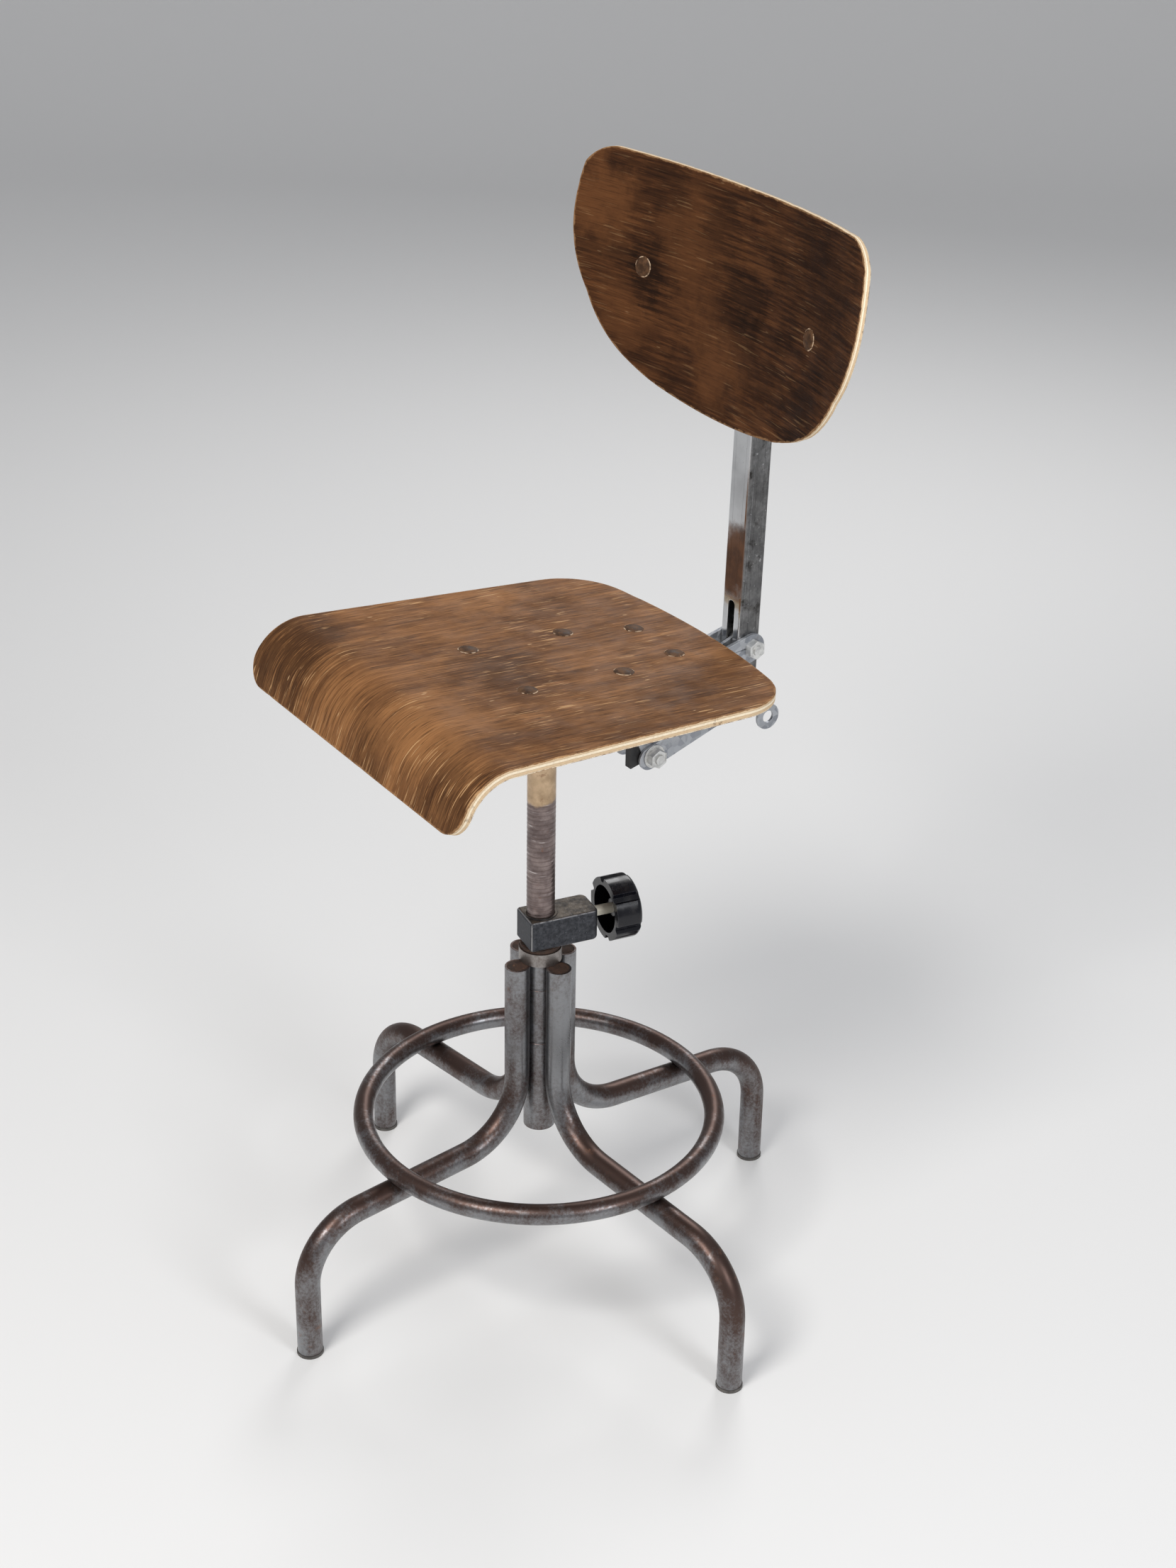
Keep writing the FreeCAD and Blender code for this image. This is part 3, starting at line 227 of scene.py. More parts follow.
def worn_tube(name, bare, brown, rust_amount, rough):
    """Old steel tube: patchy bare metal under a thin brown patina, with rust specks.

    The patina is thicker where the surface faces up, and near the floor.
    """
    s = Shader(name)
    patina = s.noise(16.0, 6.0, 0.62)
    streak = s.noise(1.0, 5.0, 0.6, s.stretch((40.0, 40.0, 7.0)))
    cover = s.math("ADD", s.times(patina, 0.6), s.times(streak, 0.4))
    up = s.split(s.node("ShaderNodeNewGeometry", "Normal"), Z)
    low = s.ramp(s.split(s.place, Z), 0.30, 0.20, 0.0, 0.05)
    cover = s.math("ADD", cover, s.math("ADD", low, s.ramp(up, -0.2, 0.9, -0.06, 0.09)))
    speck = s.ramp(s.noise(330.0, 5.0, 0.75), 0.35, 0.65, -0.045, 0.045)
    cover = s.math("ADD", cover, speck)
    tone = s.mix(s.ramp(cover, 0.38, 0.66), bare, brown)
    rust_spots = s.ramp(s.noise(70.0, 6.0, 0.7), 0.58, 0.70)
    rust_zone = s.ramp(s.noise(7.0, 3.0), 0.45, 0.62)
    rust = s.math("MULTIPLY", s.times(rust_spots, rust_zone), rust_amount, True)
    tone = s.mix(rust, tone, (0.24, 0.09, 0.035))
    pits = s.ramp(s.cells(330.0), 0.12, 0.05)
    pits = s.times(pits, s.ramp(s.noise(30.0), 0.5, 0.65))
    tone = s.mix(s.times(pits, 0.7), tone, (0.035, 0.025, 0.02))
    s.set(Base_Color=tone)
    dull = s.math("ADD", rust, s.times(cover, 0.4))
    s.set(Metallic=s.ramp(dull, 0.15, 0.9, 0.95, 0.35))
    s.set(Roughness=s.math("ADD", s.ramp(cover, 0.3, 0.7, *rough), s.times(rust, 0.3)))
    height = s.math("ADD", s.times(patina, 0.5), s.times(rust, 0.6))
    height = s.math("SUBTRACT", height, s.times(pits, 0.6))
    s.set(Normal=s.bump(height, 0.35, 0.0005))
    return s.material


def rusty(name):
    """Bare steel gone brown and rough all over."""
    s = Shader(name)
    patch = s.noise(120.0, 7.0, 0.7)
    tone = s.mix(s.ramp(patch, 0.35, 0.65), (0.085, 0.046, 0.031), (0.036, 0.024, 0.019))
    tone = s.mix(s.ramp(s.noise(300.0, 3.0), 0.6, 0.75, 0.0, 0.6), tone, (0.26, 0.13, 0.07))
    s.set(Base_Color=tone, Roughness=0.8, Metallic=0.3)
    s.set(Normal=s.bump(s.noise(420.0, 6.0, 0.75), 0.8, 0.0006))
    return s.material


def galvanised(name):
    """Zinc sheet: crystal spangles of slightly different greys, dull, with pale bloom."""
    s = Shader(name)
    grey = s.node("ShaderNodeRGBToBW", 0, Color=s.cells(150.0, output="Color"))
    tone = s.mix(s.ramp(grey, 0.2, 0.8), (0.27, 0.285, 0.315), (0.46, 0.475, 0.50))
    bloom = s.ramp(s.noise(28.0, 6.0, 0.65), 0.5, 0.7)
    tone = s.mix(s.times(bloom, 0.45), tone, (0.60, 0.61, 0.62))
    stain = s.ramp(s.noise(44.0, 5.0, 0.6), 0.58, 0.72)
    tone = s.mix(s.times(stain, 0.45), tone, (0.20, 0.18, 0.16))
    tone = s.mix(s.times(s.edge_wear_and_highlight(0.0008), 0.6), tone, (0.86, 0.86, 0.86))
    s.set(Base_Color=tone, Metallic=0.8)
    s.set(Roughness=s.ramp(grey, 0.2, 0.8, 0.42, 0.58))
    s.set(Normal=s.bump(s.noise(260.0, 4.0), 0.25, 0.0003))
    return s.material


def stained_chrome(name):
    """A chromed post: a bright front with a brown stain low down, sides painted dark as shade and
    speckled, and a painted highlight along its edges.
    """
    s = Shader(name)
    ripple = s.ramp(s.noise(22.0, 5.0, 0.6), 0.2, 0.8, -0.02, 0.02)
    ragged = s.math("ADD", s.split(s.place, Z), ripple)
    low = s.times(s.ramp(ragged, *STAIN_TOP), s.ramp(ragged, *STAIN_FOOT))
    forward = s.split(s.node("ShaderNodeTexCoord", "Normal"), Y)
    front = s.ramp(forward, -0.5, -0.9)
    bare = s.mix(s.ramp(s.noise(9.0, 5.0, 0.6), 0.35, 0.7), (0.66, 0.67, 0.68), (0.42, 0.42, 0.43))
    # Painted shade: faces turned away from the front get a dark, mottled tone in place of the
    # bright chrome, stronger in some patches than in others.
    shade_patchiness = s.ramp(s.noise(60.0, 6.0, 0.7), 0.48, 0.7)
    side = s.math("SUBTRACT", 1.0, front)
    shade_mottle = s.ramp(s.noise(75.0, 7.0, 0.75), 0.38, 0.66)
    grime_and_shade = s.mix(shade_mottle, (0.030, 0.027, 0.024), (0.155, 0.150, 0.145))
    tone = s.mix(s.times(side, s.ramp(shade_patchiness, 0.0, 1.0, 0.80, 1.0)), bare, grime_and_shade)
    brown = s.mix(s.ramp(s.noise(45.0, 4.0), 0.35, 0.65), (0.16, 0.075, 0.035), (0.07, 0.035, 0.02))
    stain = s.times(s.times(low, front), 0.95)
    tone = s.mix(stain, tone, brown)
    specks = s.ramp(s.cells(260.0), 0.12, 0.05)
    specks = s.times(specks, s.ramp(s.noise(26.0, 4.0), 0.48, 0.62))
    tone = s.mix(s.times(specks, 0.85), tone, (0.05, 0.045, 0.04))
    pale = s.ramp(s.noise(190.0, 3.0, 0.5), 0.66, 0.72)
    tone = s.mix(s.times(s.times(pale, side), 0.7), tone, (0.62, 0.62, 0.62))
    # Painted highlight: the post's sharp edges are painted near white.
    tone = s.mix(s.times(s.edge_wear_and_highlight(0.0025, 0.02, 0.2), 0.75), tone, (0.94, 0.95, 0.96))
    s.set(Base_Color=tone)
    s.set(Metallic=s.math("SUBTRACT", 1.0, s.times(stain, 0.5)))
    blur = s.math("ADD", s.times(side, 0.30), s.times(stain, 0.15))
    s.set(Roughness=s.math("ADD", blur, 0.14))
    s.set(Normal=s.bump(s.math("ADD", s.noise(150.0, 4.0), specks), 0.12, 0.0003))
    return s.material


def cast_block(name):
    """Dark grey casting with a fine grain, a rougher brown top, and worn, paler edges."""
    s = Shader(name)
    grain = s.noise(230.0, 6.0, 0.7)
    tone = s.mix(s.ramp(grain, 0.35, 0.7), (0.020, 0.022, 0.027), (0.078, 0.081, 0.092))
    top = s.ramp(s.split(s.node("ShaderNodeNewGeometry", "Normal"), Z), 0.7, 0.95)
    dirt = s.ramp(s.noise(95.0, 6.0, 0.7), 0.35, 0.65)
    grime_and_shade = s.mix(dirt, (0.030, 0.024, 0.019), (0.125, 0.10, 0.075))
    tone = s.mix(s.times(top, 0.9), tone, grime_and_shade)
    spots = s.ramp(s.cells(210.0), 0.14, 0.06)
    tone = s.mix(s.times(spots, 0.30), tone, (0.34, 0.36, 0.40))
    own = s.stretch((1.0, 1.0, 1.0), BLOCK_TURN)
    along, across, height = (s.split(own, axis) for axis in (X, Y, Z))
    # An edge is where the second smallest of the distances to the faces is small too.
    end, face = s.inside(along, *BLOCK_ENDS), s.inside(height, *BLOCK_HEIGHTS)
    side = s.math("SUBTRACT", BLOCK_HALF, s.math("ABSOLUTE", across))
    second = s.math("MINIMUM", s.math("MAXIMUM", end, side), face)
    second = s.math("MAXIMUM", s.math("MINIMUM", end, side), second)
    rubbed_and_highlight = s.ramp(s.noise(75.0, 5.0, 0.65), 0.34, 0.50)
    worn = s.times(s.ramp(second, 0.0018, 0.0009), rubbed_and_highlight)
    tone = s.mix(s.times(worn, 0.75), tone, (0.46, 0.45, 0.45))
    s.set(Base_Color=tone)
    s.set(Metallic=s.math("ADD", s.times(worn, 0.4), 0.55))
    s.set(Roughness=s.ramp(grain, 0.3, 0.7, 0.42, 0.62))
    height = s.math("ADD", grain, s.times(top, s.noise(160.0, 5.0)))
    s.set(Normal=s.bump(height, 0.5, 0.0006))
    return s.material


def glossy_black(name):
    """Black moulded plastic with a thin gloss, rubbed dull in patches, and a painted bluish-grey
    highlight along its edges.
    """
    s = Shader(name)
    wipe = s.noise(42.0, 6.0, 0.65)
    tone = s.mix(s.ramp(wipe, 0.55, 0.75), (0.006, 0.006, 0.009), (0.035, 0.031, 0.029))
    # Painted highlight: the knob's sharp edges are painted bluish grey.
    rubbed_and_highlight = s.times(s.edge_wear_and_highlight(0.0007, 0.03, 0.3), 0.45)
    tone = s.mix(rubbed_and_highlight, tone, (0.30, 0.31, 0.34))
    s.set(Base_Color=tone)
    s.set(Roughness=s.ramp(wipe, 0.4, 0.75, 0.13, 0.42))
    s.set(Normal=s.bump(s.noise(60.0, 3.0), 0.08, 0.0004))
    s.bsdf.inputs["Specular IOR Level"].default_value = 0.3
    s.bsdf.inputs["Coat Weight"].default_value = 0.15
    s.bsdf.inputs["Coat Roughness"].default_value = 0.08
    return s.material


def plated(name, low, high, metal):
    """Plated or plain small parts: patchy metal, with grime and bright edges."""
    s = Shader(name)
    patch = s.noise(170.0, 5.0, 0.6)
    tone = s.mix(s.ramp(patch, 0.3, 0.7), low, high)
    grime_and_shade = s.ramp(s.noise(90.0, 5.0, 0.65), 0.57, 0.72)
    tone = s.mix(s.times(grime_and_shade, 0.5), tone, (0.16, 0.14, 0.12))
    tone = s.mix(s.times(s.edge_wear_and_highlight(0.0005), 0.5), tone, (0.92, 0.92, 0.90))
    s.set(Base_Color=tone, Metallic=metal)
    s.set(Roughness=s.ramp(patch, 0.3, 0.7, 0.30, 0.50))
    s.set(Normal=s.bump(s.noise(500.0, 4.0), 0.2, 0.0002))
    return s.material


def plain(name, low, high, rough, scale=120.0, metal=0.0):
    """A quiet surface: two near tones in patches, with a fine bump."""
    s = Shader(name)
    patch = s.noise(scale, 5.0, 0.6)
    s.set(Base_Color=s.mix(s.ramp(patch, 0.3, 0.7), low, high), Metallic=metal)
    s.set(Roughness=s.ramp(patch, 0.3, 0.7, rough - 0.07, rough + 0.07))
    s.set(Normal=s.bump(s.noise(scale * 4, 4.0), 0.25, 0.0003))
    return s.material


def spindle_steel(name):
    """The spindle: a browned screw, polished on its crests, with a tan plain part at the top."""
    s = Shader(name)
    crest = s.attribute("crest")
    ripple = s.ramp(s.noise(60.0, 4.0), 0.2, 0.8, -0.004, 0.004)
    ragged = s.math("ADD", s.split(s.place, Z), ripple)
    patch = s.ramp(s.noise(50.0, 6.0, 0.65), 0.35, 0.65)
    screw = s.mix(patch, (0.30, 0.24, 0.225), (0.15, 0.115, 0.11))
    band = s.noise(1.0, 4.0, 0.65, s.stretch((22.0, 22.0, 420.0)))
    screw = s.mix(s.ramp(band, 0.54, 0.66, 0.0, 0.55), screw, (0.10, 0.07, 0.062))
    scuff = s.times(s.ramp(band, 0.42, 0.34), s.ramp(s.noise(46.0, 4.0), 0.46, 0.60))
    scuff = s.times(scuff, s.ramp(crest, 0.2, 0.9, 0.35, 0.9))
    screw = s.mix(scuff, screw, (0.66, 0.60, 0.58))
    screw = s.mix(s.ramp(crest, 0.3, 0.0, 0.0, 0.35), screw, (0.10, 0.065, 0.055))
    patch = s.ramp(s.noise(38.0, 6.0, 0.65), 0.35, 0.7)
    tan = s.mix(patch, (0.66, 0.48, 0.31), (0.40, 0.28, 0.17))
    tone = s.mix(s.ramp(ragged, SCREW_TOP - 3 * MM, SCREW_TOP + 2 * MM), screw, tan)
    rust = s.ramp(s.noise(85.0, 5.0, 0.65), 0.62, 0.72)
    tone = s.mix(s.times(rust, 0.55), tone, (0.22, 0.09, 0.04))
    s.set(Base_Color=tone, Metallic=0.82)
    s.set(Roughness=s.ramp(s.noise(110.0, 4.0), 0.3, 0.7, 0.28, 0.44))
    s.set(Normal=s.bump(s.noise(320.0, 5.0), 0.3, 0.0003))
    return s.material


def bolt_cap(name):
    """Domed heads stained with the wood, rubbed paler round the rim."""
    s = Shader(name)
    patch = s.noise(150.0, 5.0, 0.65)
    tone = s.mix(s.ramp(patch, 0.35, 0.65), (0.042, 0.021, 0.011), (0.12, 0.060, 0.029))
    rubbed_and_highlight = s.ramp(s.noise(210.0, 4.0), 0.46, 0.58)
    rim = s.times(s.edge_wear_and_highlight(0.0012, 0.01, 0.08), rubbed_and_highlight)
    tone = s.mix(rim, tone, (0.50, 0.36, 0.24))
    s.bsdf.inputs["Specular IOR Level"].default_value = 0.12
    s.set(Base_Color=tone, Roughness=s.ramp(patch, 0.3, 0.7, 0.45, 0.65))
    s.set(Normal=s.bump(s.noise(300.0, 5.0), 0.5, 0.0004))
    return s.material


# ---------------------------------------------------------------- mesh helpers

def new_piece(name, verts, faces, material, body, replaces):
    """A smooth mesh that rides on a body in place of the CAD nodes it replaces."""
    mesh = bpy.data.meshes.new(name)
    mesh.from_pydata([tuple(v) for v in verts], [], faces)
    mesh.validate()
    mesh.update()
    item = bpy.data.objects.new(name, mesh)
    bpy.context.scene.collection.objects.link(item)
    mesh.polygons.foreach_set("use_smooth", [True] * len(mesh.polygons))
    mesh.materials.append(material)
    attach(item, body)
    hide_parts(*replaces)
    return item


def add_attribute(item, name, values, kind="FLOAT", field="value"):
    """A value for each vertex, for the material to read."""
    item.data.attributes.new(name, kind, "POINT").data.foreach_set(field, values)


def tube_faces(rings, sides):
    """Quads between rings of vertices."""
    faces = []
    for i in range(rings - 1):
        a, b = i * sides, (i + 1) * sides
        for k in range(sides):
            n = (k + 1) % sides
            faces.append((a + k, a + n, b + n, b + k))
    return faces


def arc(centre, radius, start, end, steps):
    """Points along an arc from one angle to another, both ends included."""
    angles = [start + (end - start) * k / steps for k in range(steps + 1)]
    return [(centre.x + radius * math.cos(a), centre.y + radius * math.sin(a)) for a in angles]


def arc_through(a, b, c, steps):
    """Points on the circle through three points, from a to just before c."""
    ax, ay = a
    bx, by = b
    cx, cy = c
    aa, bb, cc = ax**2 + ay**2, bx**2 + by**2, cx**2 + cy**2
    d = 2 * (ax * (by - cy) + bx * (cy - ay) + cx * (ay - by))
    ux = (aa * (by - cy) + bb * (cy - ay) + cc * (ay - by)) / d
    uy = (aa * (cx - bx) + bb * (ax - cx) + cc * (bx - ax)) / d
    radius = math.hypot(ax - ux, ay - uy)
    start = math.atan2(ay - uy, ax - ux)
    middle = (math.atan2(by - uy, bx - ux) - start) % (2 * math.pi)
    sweep = (math.atan2(cy - uy, cx - ux) - start) % (2 * math.pi)
    if middle > sweep:
        sweep -= 2 * math.pi
    return [(ux + radius * math.cos(start + sweep * k / steps),
             uy + radius * math.sin(start + sweep * k / steps)) for k in range(steps)]


def evenly(points, count):
    """A closed line resampled to evenly spaced points."""
    closed = points + [points[0]]
    lengths = [0.0]
    for a, b in zip(closed, closed[1:]):
        lengths.append(lengths[-1] + math.dist(a, b))
    made, k = [], 0
    for i in range(count):
        want = lengths[-1] * i / count
        while lengths[k + 1] < want:
            k += 1
        part = (want - lengths[k]) / (lengths[k + 1] - lengths[k])
        made.append(tuple(p + (q - p) * part for p, q in zip(closed[k], closed[k + 1])))
    return made


def board(name, outline, centre, place, thick, rings, material, body, replaces):
    """A plywood board from its outline and a function that places (x, along, depth).

    The faces are rings that shrink towards the centre. The edge between them is eased, and
    chipped here and there.
    """
    count = len(outline)
    ease, deepest_chip = 0.9 * MM, 0.9 * MM
    normals = []
    for k in range(count):
        a, b = outline[k - 1], outline[(k + 1) % count]
        run = Vector((b[0] - a[0], b[1] - a[1])).normalized()
        normals.append((run.y, -run.x))
    turn = sum(outline[k - 1][0] * outline[k][1] - outline[k][0] * outline[k - 1][1]
               for k in range(count))
    sign = 1.0 if turn > 0 else -1.0

    def inset(k, distance):
        x, y = outline[k]
        return (x - sign * normals[k][0] * distance, y - sign * normals[k][1] * distance)

    section = []
    for step in range(rings):
        section.append(("face", step / rings, 0.0))
    corner = [(1 - math.sin(a), 1 - math.cos(a)) for a in (0.0, 0.4, 0.8, 1.2, math.pi / 2)]
    section += [("edge", ease * i, ease * d) for i, d in corner]
    section += [("edge", 0.0, thick * f) for f in (0.3, 0.5, 0.7)]
    section += [("edge", ease * i, thick - ease * d) for i, d in reversed(corner)]
    for step in range(rings - 1, -1, -1):
        section.append(("face", step / rings, thick))

    verts, depths, edges, flats = [], [], [], []
    for kind, amount, depth in section:
        for k in range(count):
            if kind == "face":
                x, y = inset(k, ease)
                x = centre[0] + (x - centre[0]) * amount
                y = centre[1] + (y - centre[1]) * amount
                away = (1 - amount) * math.dist(outline[k], centre)
            else:
                chip = noise.noise(Vector((outline[k][0], outline[k][1], depth)) * 90.0)
                x, y = inset(k, amount + max(0.0, chip - 0.25) * deepest_chip)
                away = amount * 0.3
            verts.append(place(x, y, depth))
            flats += [x, y, depth]
            depths.append(depth / thick)
            edges.append(away)
    faces = tube_faces(len(section), count)
    item = new_piece(name, verts, faces, material, body, replaces)
    add_attribute(item, "depth", depths)
    add_attribute(item, "edge", edges)
    add_attribute(item, "flat", flats, "FLOAT_VECTOR", "vector")
    tidy_normals(item)


def tidy_normals(item):
    """Merges what coincides and turns every face outwards."""
    work = bmesh.new()
    work.from_mesh(item.data)
    bmesh.ops.remove_doubles(work, verts=work.verts, dist=1e-6)
    bmesh.ops.recalc_face_normals(work, faces=work.faces)
    work.to_mesh(item.data)
    work.free()


def ease_edges(item):
    """Softens a CAD node's hard edges with modifiers; its own mesh stays as it is."""
    weld = item.modifiers.new("Weld", "WELD")
    weld.merge_threshold = 2e-6
    bevel = item.modifiers.new("Ease", "BEVEL")
    bevel.width = 0.35 * MM
    bevel.segments = 2
    bevel.limit_method = "ANGLE"
    bevel.angle_limit = math.radians(32)
    bevel.harden_normals = False
    smooth = item.modifiers.new("Shade", "WEIGHTED_NORMAL")
    smooth.keep_sharp = True


def paint(material, node):
    """Gives a CAD node its material."""
    mesh = nodes[node].data
    mesh.materials.clear()
    mesh.materials.append(material)


# ---------------------------------------------------------------- the seat board

SEAT_PLACE = (Matrix.Translation((0, 0.0034, 0.6724))
              @ Matrix.Rotation(math.radians(-1.7), 4, "Z")
              @ Matrix.Rotation(math.radians(-3.56), 4, "X"))
# The front rolls down from here, round this radius and through this angle.
LIP_START, LIP_BEND, LIP_ANGLE = -0.1522, 0.0548, math.radians(72.3)
# Half the width at the front, and the sheet's front edge measured along the sheet.
SEAT_SIDE, SEAT_FRONT = 0.1961, -0.2417
# How far the sides are dished up at the rear, and where along the sheet that is reached.
SEAT_DISH, DISH_END = 0.0042, 0.1866


def seat_surface(x, run, depth):
    """The seat's sheet: flat and a little dished behind, then rolled down round the front.

    run is the distance forward or back along the sheet's top.
    """
    if run >= LIP_START:
        dish = SEAT_DISH * (x / SEAT_SIDE) ** 2 * (run - LIP_START) / (DISH_END - LIP_START)
        spot = Vector((x, run, dish - depth))
    else:
        past = LIP_START - run
        turned = min(past / LIP_BEND, LIP_ANGLE)
        straight = max(0.0, past - LIP_BEND * LIP_ANGLE)
        out = Vector((0, -math.sin(turned), math.cos(turned)))
        spot = Vector((x, LIP_START, -LIP_BEND)) + out * (LIP_BEND - depth)
        spot += Vector((0, -math.cos(turned), -math.sin(turned))) * straight
    return SEAT_PLACE @ spot


def seat_outline():
    """Half the rounded outline, along the front, the side and the arched rear, then mirrored.

    The side runs straight from the front corner to the rear one. The front corner is rounded
    by nose, and the rear one by the circle that touches both the side and the rear arch.
    """
    front, corner = Vector((SEAT_SIDE, SEAT_FRONT)), Vector((0.1755, 0.1546))
    up = (corner - front).normalized()
    inward = Vector((-up.y, up.x))
    nose, rear_round, rear_radius, rear_end = 0.0258, 0.0665, 0.6068, 0.1806
    rear_centre = Vector((0.0, rear_end - rear_radius))
    points = [(SEAT_SIDE - nose + nose * math.sin(a), SEAT_FRONT + nose - nose * math.cos(a))
              for a in [math.radians(10 * k) for k in range(10)]]
    base = front + inward * rear_round - rear_centre
    b, c = base.dot(up), base.dot(base) - (rear_radius - rear_round) ** 2
    centre = front + inward * rear_round + up * (-b + math.sqrt(b * b - c))
    start = math.atan2(-inward.y, -inward.x)
    away = centre - rear_centre
    end = math.atan2(away.y, away.x)
    points += arc(centre, rear_round, start, end, 24)
    points += arc(rear_centre, rear_radius, end, math.pi / 2, 16)[1:]
    return evenly(points + [(-x, y) for x, y in reversed(points[:-1])], 420)


# ---------------------------------------------------------------- the back board

BACK_PLACE = (Matrix.Translation((0, 0.2094, 0.984))
              @ Matrix.Rotation(math.radians(-1.18), 4, "Z")
              @ Matrix.Rotation(math.radians(0.86), 4, "Y")
              @ Matrix.Rotation(math.radians(-7.47), 4, "X"))
BACK_RADIUS = 0.628


def back_surface(x, up, depth):
    """The back's sheet, bent round an upright cylinder."""
    angle = math.asin(x / BACK_RADIUS)
    out = BACK_RADIUS + depth
    return BACK_PLACE @ Vector((out * math.sin(angle), out * math.cos(angle) - BACK_RADIUS, up))


def back_outline():
    """Arcs through every three corners (millimetres) down one side, then mirrored."""
    corners = [(0, 103.2), (90, 103.6), (177.3, 103.3), (198.5, 95.6), (211.7, 82.5), (215.7, 63.5),
               (217.4, 44.2), (214.9, 10.2), (191.9, -38.5), (167.7, -69.7), (131.5, -92.5),
               (114.5, -99.0), (94.7, -104.8), (48.0, -111.6), (0.0, -113.9)]
    points = []
    for k in range(0, len(corners) - 1, 2):
        points += [(x * MM, y * MM) for x, y in arc_through(*corners[k:k + 3], 20)]
    bottom = (0.0, corners[-1][1] * MM)
    left = [(-x, y) for x, y in reversed(points[1:])]
    return evenly(points + [bottom] + left, 440)


# ---------------------------------------------------------------- the spindle

def spindle_mesh(material):
    """A thread worn almost flat up to the plain top, on the screw's own 5 mm pitch."""
    pitch, crest, root, sides, step = 0.005, 0.01398, 0.01380, 72, 0.0005
    low, high = 0.284, 0.652
    neck_radius, neck_low = 0.0100, 0.2635
    rings = int(round((high - low) / step)) + 1
    verts, ridge = [], []
    for i in range(rings):
        z = low + step * i
        for k in range(sides):
            turn = k / sides
            phase = ((z - low) / pitch - turn) % 1.0
            wave = min(1.0, max(0.0, 1.55 * (0.5 + 0.5 * math.cos(2 * math.pi * phase)) - 0.05))
            fade = min(1.0, max(0.0, (SCREW_TOP - z) / 0.0025))
            around = Vector((math.cos(turn * 6.283), math.sin(turn * 6.283), z * 60))
            wear = 0.18 * noise.noise(around)
            level = 1.0 - fade * (1.0 - wave * (1.0 - 0.4 * max(0.0, wear)))
            radius, angle = root + (crest - root) * level, turn * 2 * math.pi
            verts.append((radius * math.cos(angle), radius * math.sin(angle), z))
            ridge.append(level)
    faces = tube_faces(rings, sides)
    neck = len(verts)
    foot = neck + sides
    for z in (low, neck_low):
        for k in range(sides):
            angle = 2 * math.pi * k / sides
            verts.append((neck_radius * math.cos(angle), neck_radius * math.sin(angle), z))
            ridge.append(0.4)
    for above, below in ((0, neck), (neck, foot)):
        for k in range(sides):
            n = (k + 1) % sides
            faces.append((below + k, below + n, above + n, above + k))
    faces.append(tuple(foot + k for k in reversed(range(sides))))
    faces.append(tuple((rings - 1) * sides + k for k in range(sides)))
    item = new_piece("spindle_screw", verts, faces, material, "seat", ("spindle",))
    add_attribute(item, "crest", ridge)
    tidy_normals(item)


# ---------------------------------------------------------------- build it

slots = {
    "leg_steel": worn_tube("leg steel", bare=(0.27, 0.275, 0.285), brown=(0.085, 0.054, 0.045),
                           rust_amount=0.4, rough=(0.27, 0.42)),
    "bare_steel": worn_tube("bare steel", bare=(0.32, 0.30, 0.285), brown=(0.13, 0.095, 0.078),
                            rust_amount=0.3, rough=(0.3, 0.5)),
    "rusty_steel": rusty("rusty steel"),
    "glide_nylon": plain("glide nylon", (0.055, 0.05, 0.045), (0.13, 0.12, 0.11), 0.6),
    "cast_grey": cast_block("cast grey"),
    "bush_brass": plated("bush brass", (0.30, 0.22, 0.11), (0.50, 0.38, 0.20), 0.8),
    "knob_black": glossy_black("knob black"),
    "stud_pale": plain("stud pale", (0.70, 0.65, 0.52), (0.86, 0.82, 0.70), 0.5, 60.0, 0.1),
    "guide_white": plain("guide white", (0.70, 0.67, 0.60), (0.80, 0.78, 0.72), 0.5),
    "galvanised": galvanised("galvanised"),
    "bolt_zinc": plated("bolt zinc", (0.50, 0.50, 0.49), (0.78, 0.78, 0.76), 0.75),
    "bolt_brown": bolt_cap("bolt brown"),
    "bumper_rubber": plain("bumper rubber", (0.010, 0.010, 0.011), (0.030, 0.029, 0.028), 0.55),
    "post_chrome": stained_chrome("post chrome"),
    "cap_plastic": plain("cap plastic", (0.012, 0.012, 0.013), (0.03, 0.03, 0.03), 0.42),
}
spindle_material = spindle_steel("spindle steel")

# Stains and rubbed places on the flat sheets: centre, radius, strength and kind.
seat_patches = (
    ((0.0, -0.045), 0.080, 0.45, "dark"), ((-0.15, -0.200), 0.090, 0.60, "dark"),
    ((0.17, -0.225), 0.060, 0.50, "dark"), ((0.03, -0.235), 0.050, 0.30, "dark"),
    ((0.12, 0.080), 0.100, 0.20, "dark"), ((0.07, -0.165), 0.085, 0.50, "light"),
    ((-0.16, 0.020), 0.060, 0.50, "light"), ((0.10, -0.020), 0.060, 0.30, "light"),
)
back_patches = (
    ((-0.195, 0.050), 0.060, 0.75, "light"), ((-0.07, 0.035), 0.070, 0.50, "light"),
    ((-0.01, -0.055), 0.055, 0.60, "light"), ((-0.15, -0.050), 0.045, 0.40, "light"),
    ((0.13, 0.050), 0.110, 0.50, "dark"), ((-0.115, -0.005), 0.040, 0.75, "dark"),
    ((0.02, 0.000), 0.055, 0.60, "dark"), ((0.13, -0.070), 0.060, 0.45, "dark"),
    ((-0.03, 0.065), 0.040, 0.45, "dark"),
)
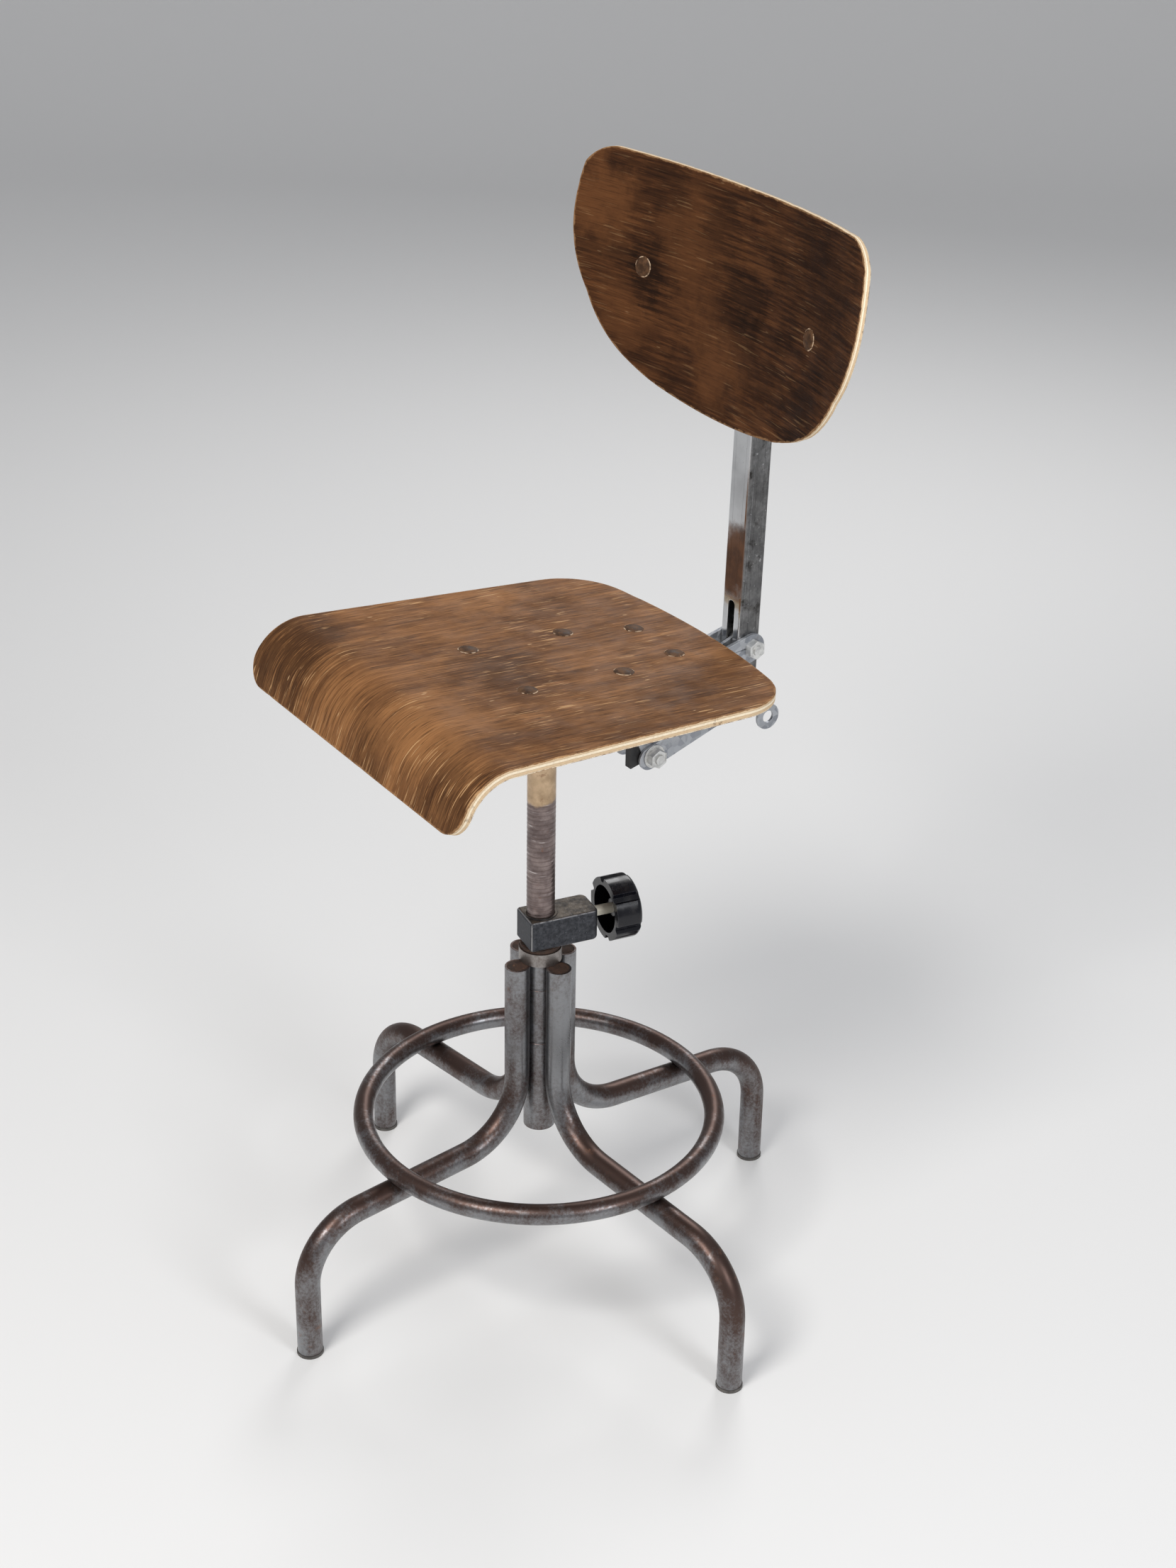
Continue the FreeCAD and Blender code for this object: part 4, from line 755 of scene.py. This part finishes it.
# The seat's grain runs front to back, and the back's from side to side.
seat_material = plywood(
    "seat ply", dark=(0.082, 0.033, 0.013), mid=(0.195, 0.084, 0.031),
    light=(0.300, 0.138, 0.052), grain=lambda fine, long: (fine, long, 1.0),
    patches=seat_patches, wear=0.8, contrast=0.8)
back_material = plywood(
    "back ply", dark=(0.012, 0.0045, 0.002), mid=(0.046, 0.0165, 0.0058),
    light=(0.115, 0.044, 0.015), grain=lambda fine, long: (long, fine, 1.0),
    patches=back_patches, wear=0.14, contrast=0.45)

for entry in frame["record"]["subparts"]:
    material = slots.get(entry["material_slot"])
    if material:
        paint(material, entry["node"])

board("seat_sheet", seat_outline(), (0.0, -0.02), seat_surface, thick=0.009, rings=44,
      material=seat_material, body="seat", replaces=("seat_board",))
board("back_sheet", back_outline(), (0.0, 0.0), back_surface, thick=0.006, rings=40,
      material=back_material, body="back", replaces=("back_board",))
spindle_mesh(spindle_material)
for item in nodes.values():
    if not item.hide_render:
        ease_edges(item)

# The lock's pad and its stud meet at their ends and turn on each other, so a hair's gap
# keeps the two end faces apart.
gap = nodes["pressure_pad"].modifiers.new("Gap", "DISPLACE")
gap.strength = -0.05 * MM
gap.mid_level = 0.0


# ---------------------------------------------------------------- floor, light and camera

# The camera looks down by PITCH, along a line turned by AZIMUTH from +Y, and leans by ROLL.
AZIMUTH, PITCH, ROLL = math.radians(54.73), math.radians(27.03), math.radians(0.982)
CAMERA_PLACE, LENS = (1.7997, -1.2186, 1.6535), 58.59


def floor_material():
    s = Shader("floor")
    s.set(Base_Color=(0.80, 0.795, 0.785), Roughness=0.75)
    return s.material


def make_stage():
    """A pale floor that curves up into a backdrop, square to the camera."""
    reach, rise, bend, half_width = 6.0, 5.0, 1.5, 8.0
    side = [(-reach, 0.0)]
    for k in range(13):
        a = math.radians(90 * k / 12)
        side.append((reach - bend + bend * math.sin(a), bend - bend * math.cos(a)))
    side.append((reach, rise))
    verts, faces = [], []
    for run, up in side:
        verts += [(-half_width, run, up), (half_width, run, up)]
    for k in range(len(side) - 1):
        faces.append((2 * k, 2 * k + 1, 2 * k + 3, 2 * k + 2))
    mesh = bpy.data.meshes.new("floor")
    mesh.from_pydata(verts, [], faces)
    mesh.polygons.foreach_set("use_smooth", [True] * len(faces))
    item = bpy.data.objects.new("floor", mesh)
    bpy.context.scene.collection.objects.link(item)
    mesh.materials.append(floor_material())
    item.rotation_euler.z = AZIMUTH


def add_light(name, place, target, wide, power, colour):
    """A round soft light turned towards its target."""
    data = bpy.data.lights.new(name, "AREA")
    data.shape = "DISK"
    data.size = wide
    data.energy = power
    data.color = colour
    item = bpy.data.objects.new(name, data)
    item.location = place
    item.rotation_euler = (Vector(target) - Vector(place)).to_track_quat("-Z", "Y").to_euler()
    bpy.context.scene.collection.objects.link(item)


make_stage()
add_light("key", (0.9, -2.2, 3.0), target=(0, 0, 0.5), wide=1.3, power=78.0,
          colour=(1.0, 0.985, 0.96))
add_light("fill", (2.6, 0.2, 1.7), target=(0, 0, 0.5), wide=0.9, power=26.0,
          colour=(0.95, 0.97, 1.0))
add_light("rim", (-1.8, 2.0, 2.4), target=(0, 0, 0.6), wide=1.4, power=30.0,
          colour=(1.0, 1.0, 1.0))

world = bpy.data.worlds.new("studio")
bpy.context.scene.world = world
world.use_nodes = True
background = world.node_tree.nodes["Background"]
background.inputs["Color"].default_value = (0.93, 0.95, 1.0, 1.0)
background.inputs["Strength"].default_value = 0.38

look = Vector((-math.cos(PITCH) * math.sin(AZIMUTH),
               math.cos(PITCH) * math.cos(AZIMUTH),
               -math.sin(PITCH)))
data = bpy.data.cameras.new("camera")
data.sensor_fit = "VERTICAL"
data.sensor_height = 36.0
data.lens = LENS
camera = bpy.data.objects.new("camera", data)
bpy.context.scene.collection.objects.link(camera)
camera.matrix_world = (Matrix.Translation(CAMERA_PLACE)
                       @ look.to_track_quat("-Z", "Y").to_matrix().to_4x4()
                       @ Matrix.Rotation(ROLL, 4, "Z"))
bpy.context.scene.camera = camera
bpy.context.scene.view_settings.view_transform = "Standard"
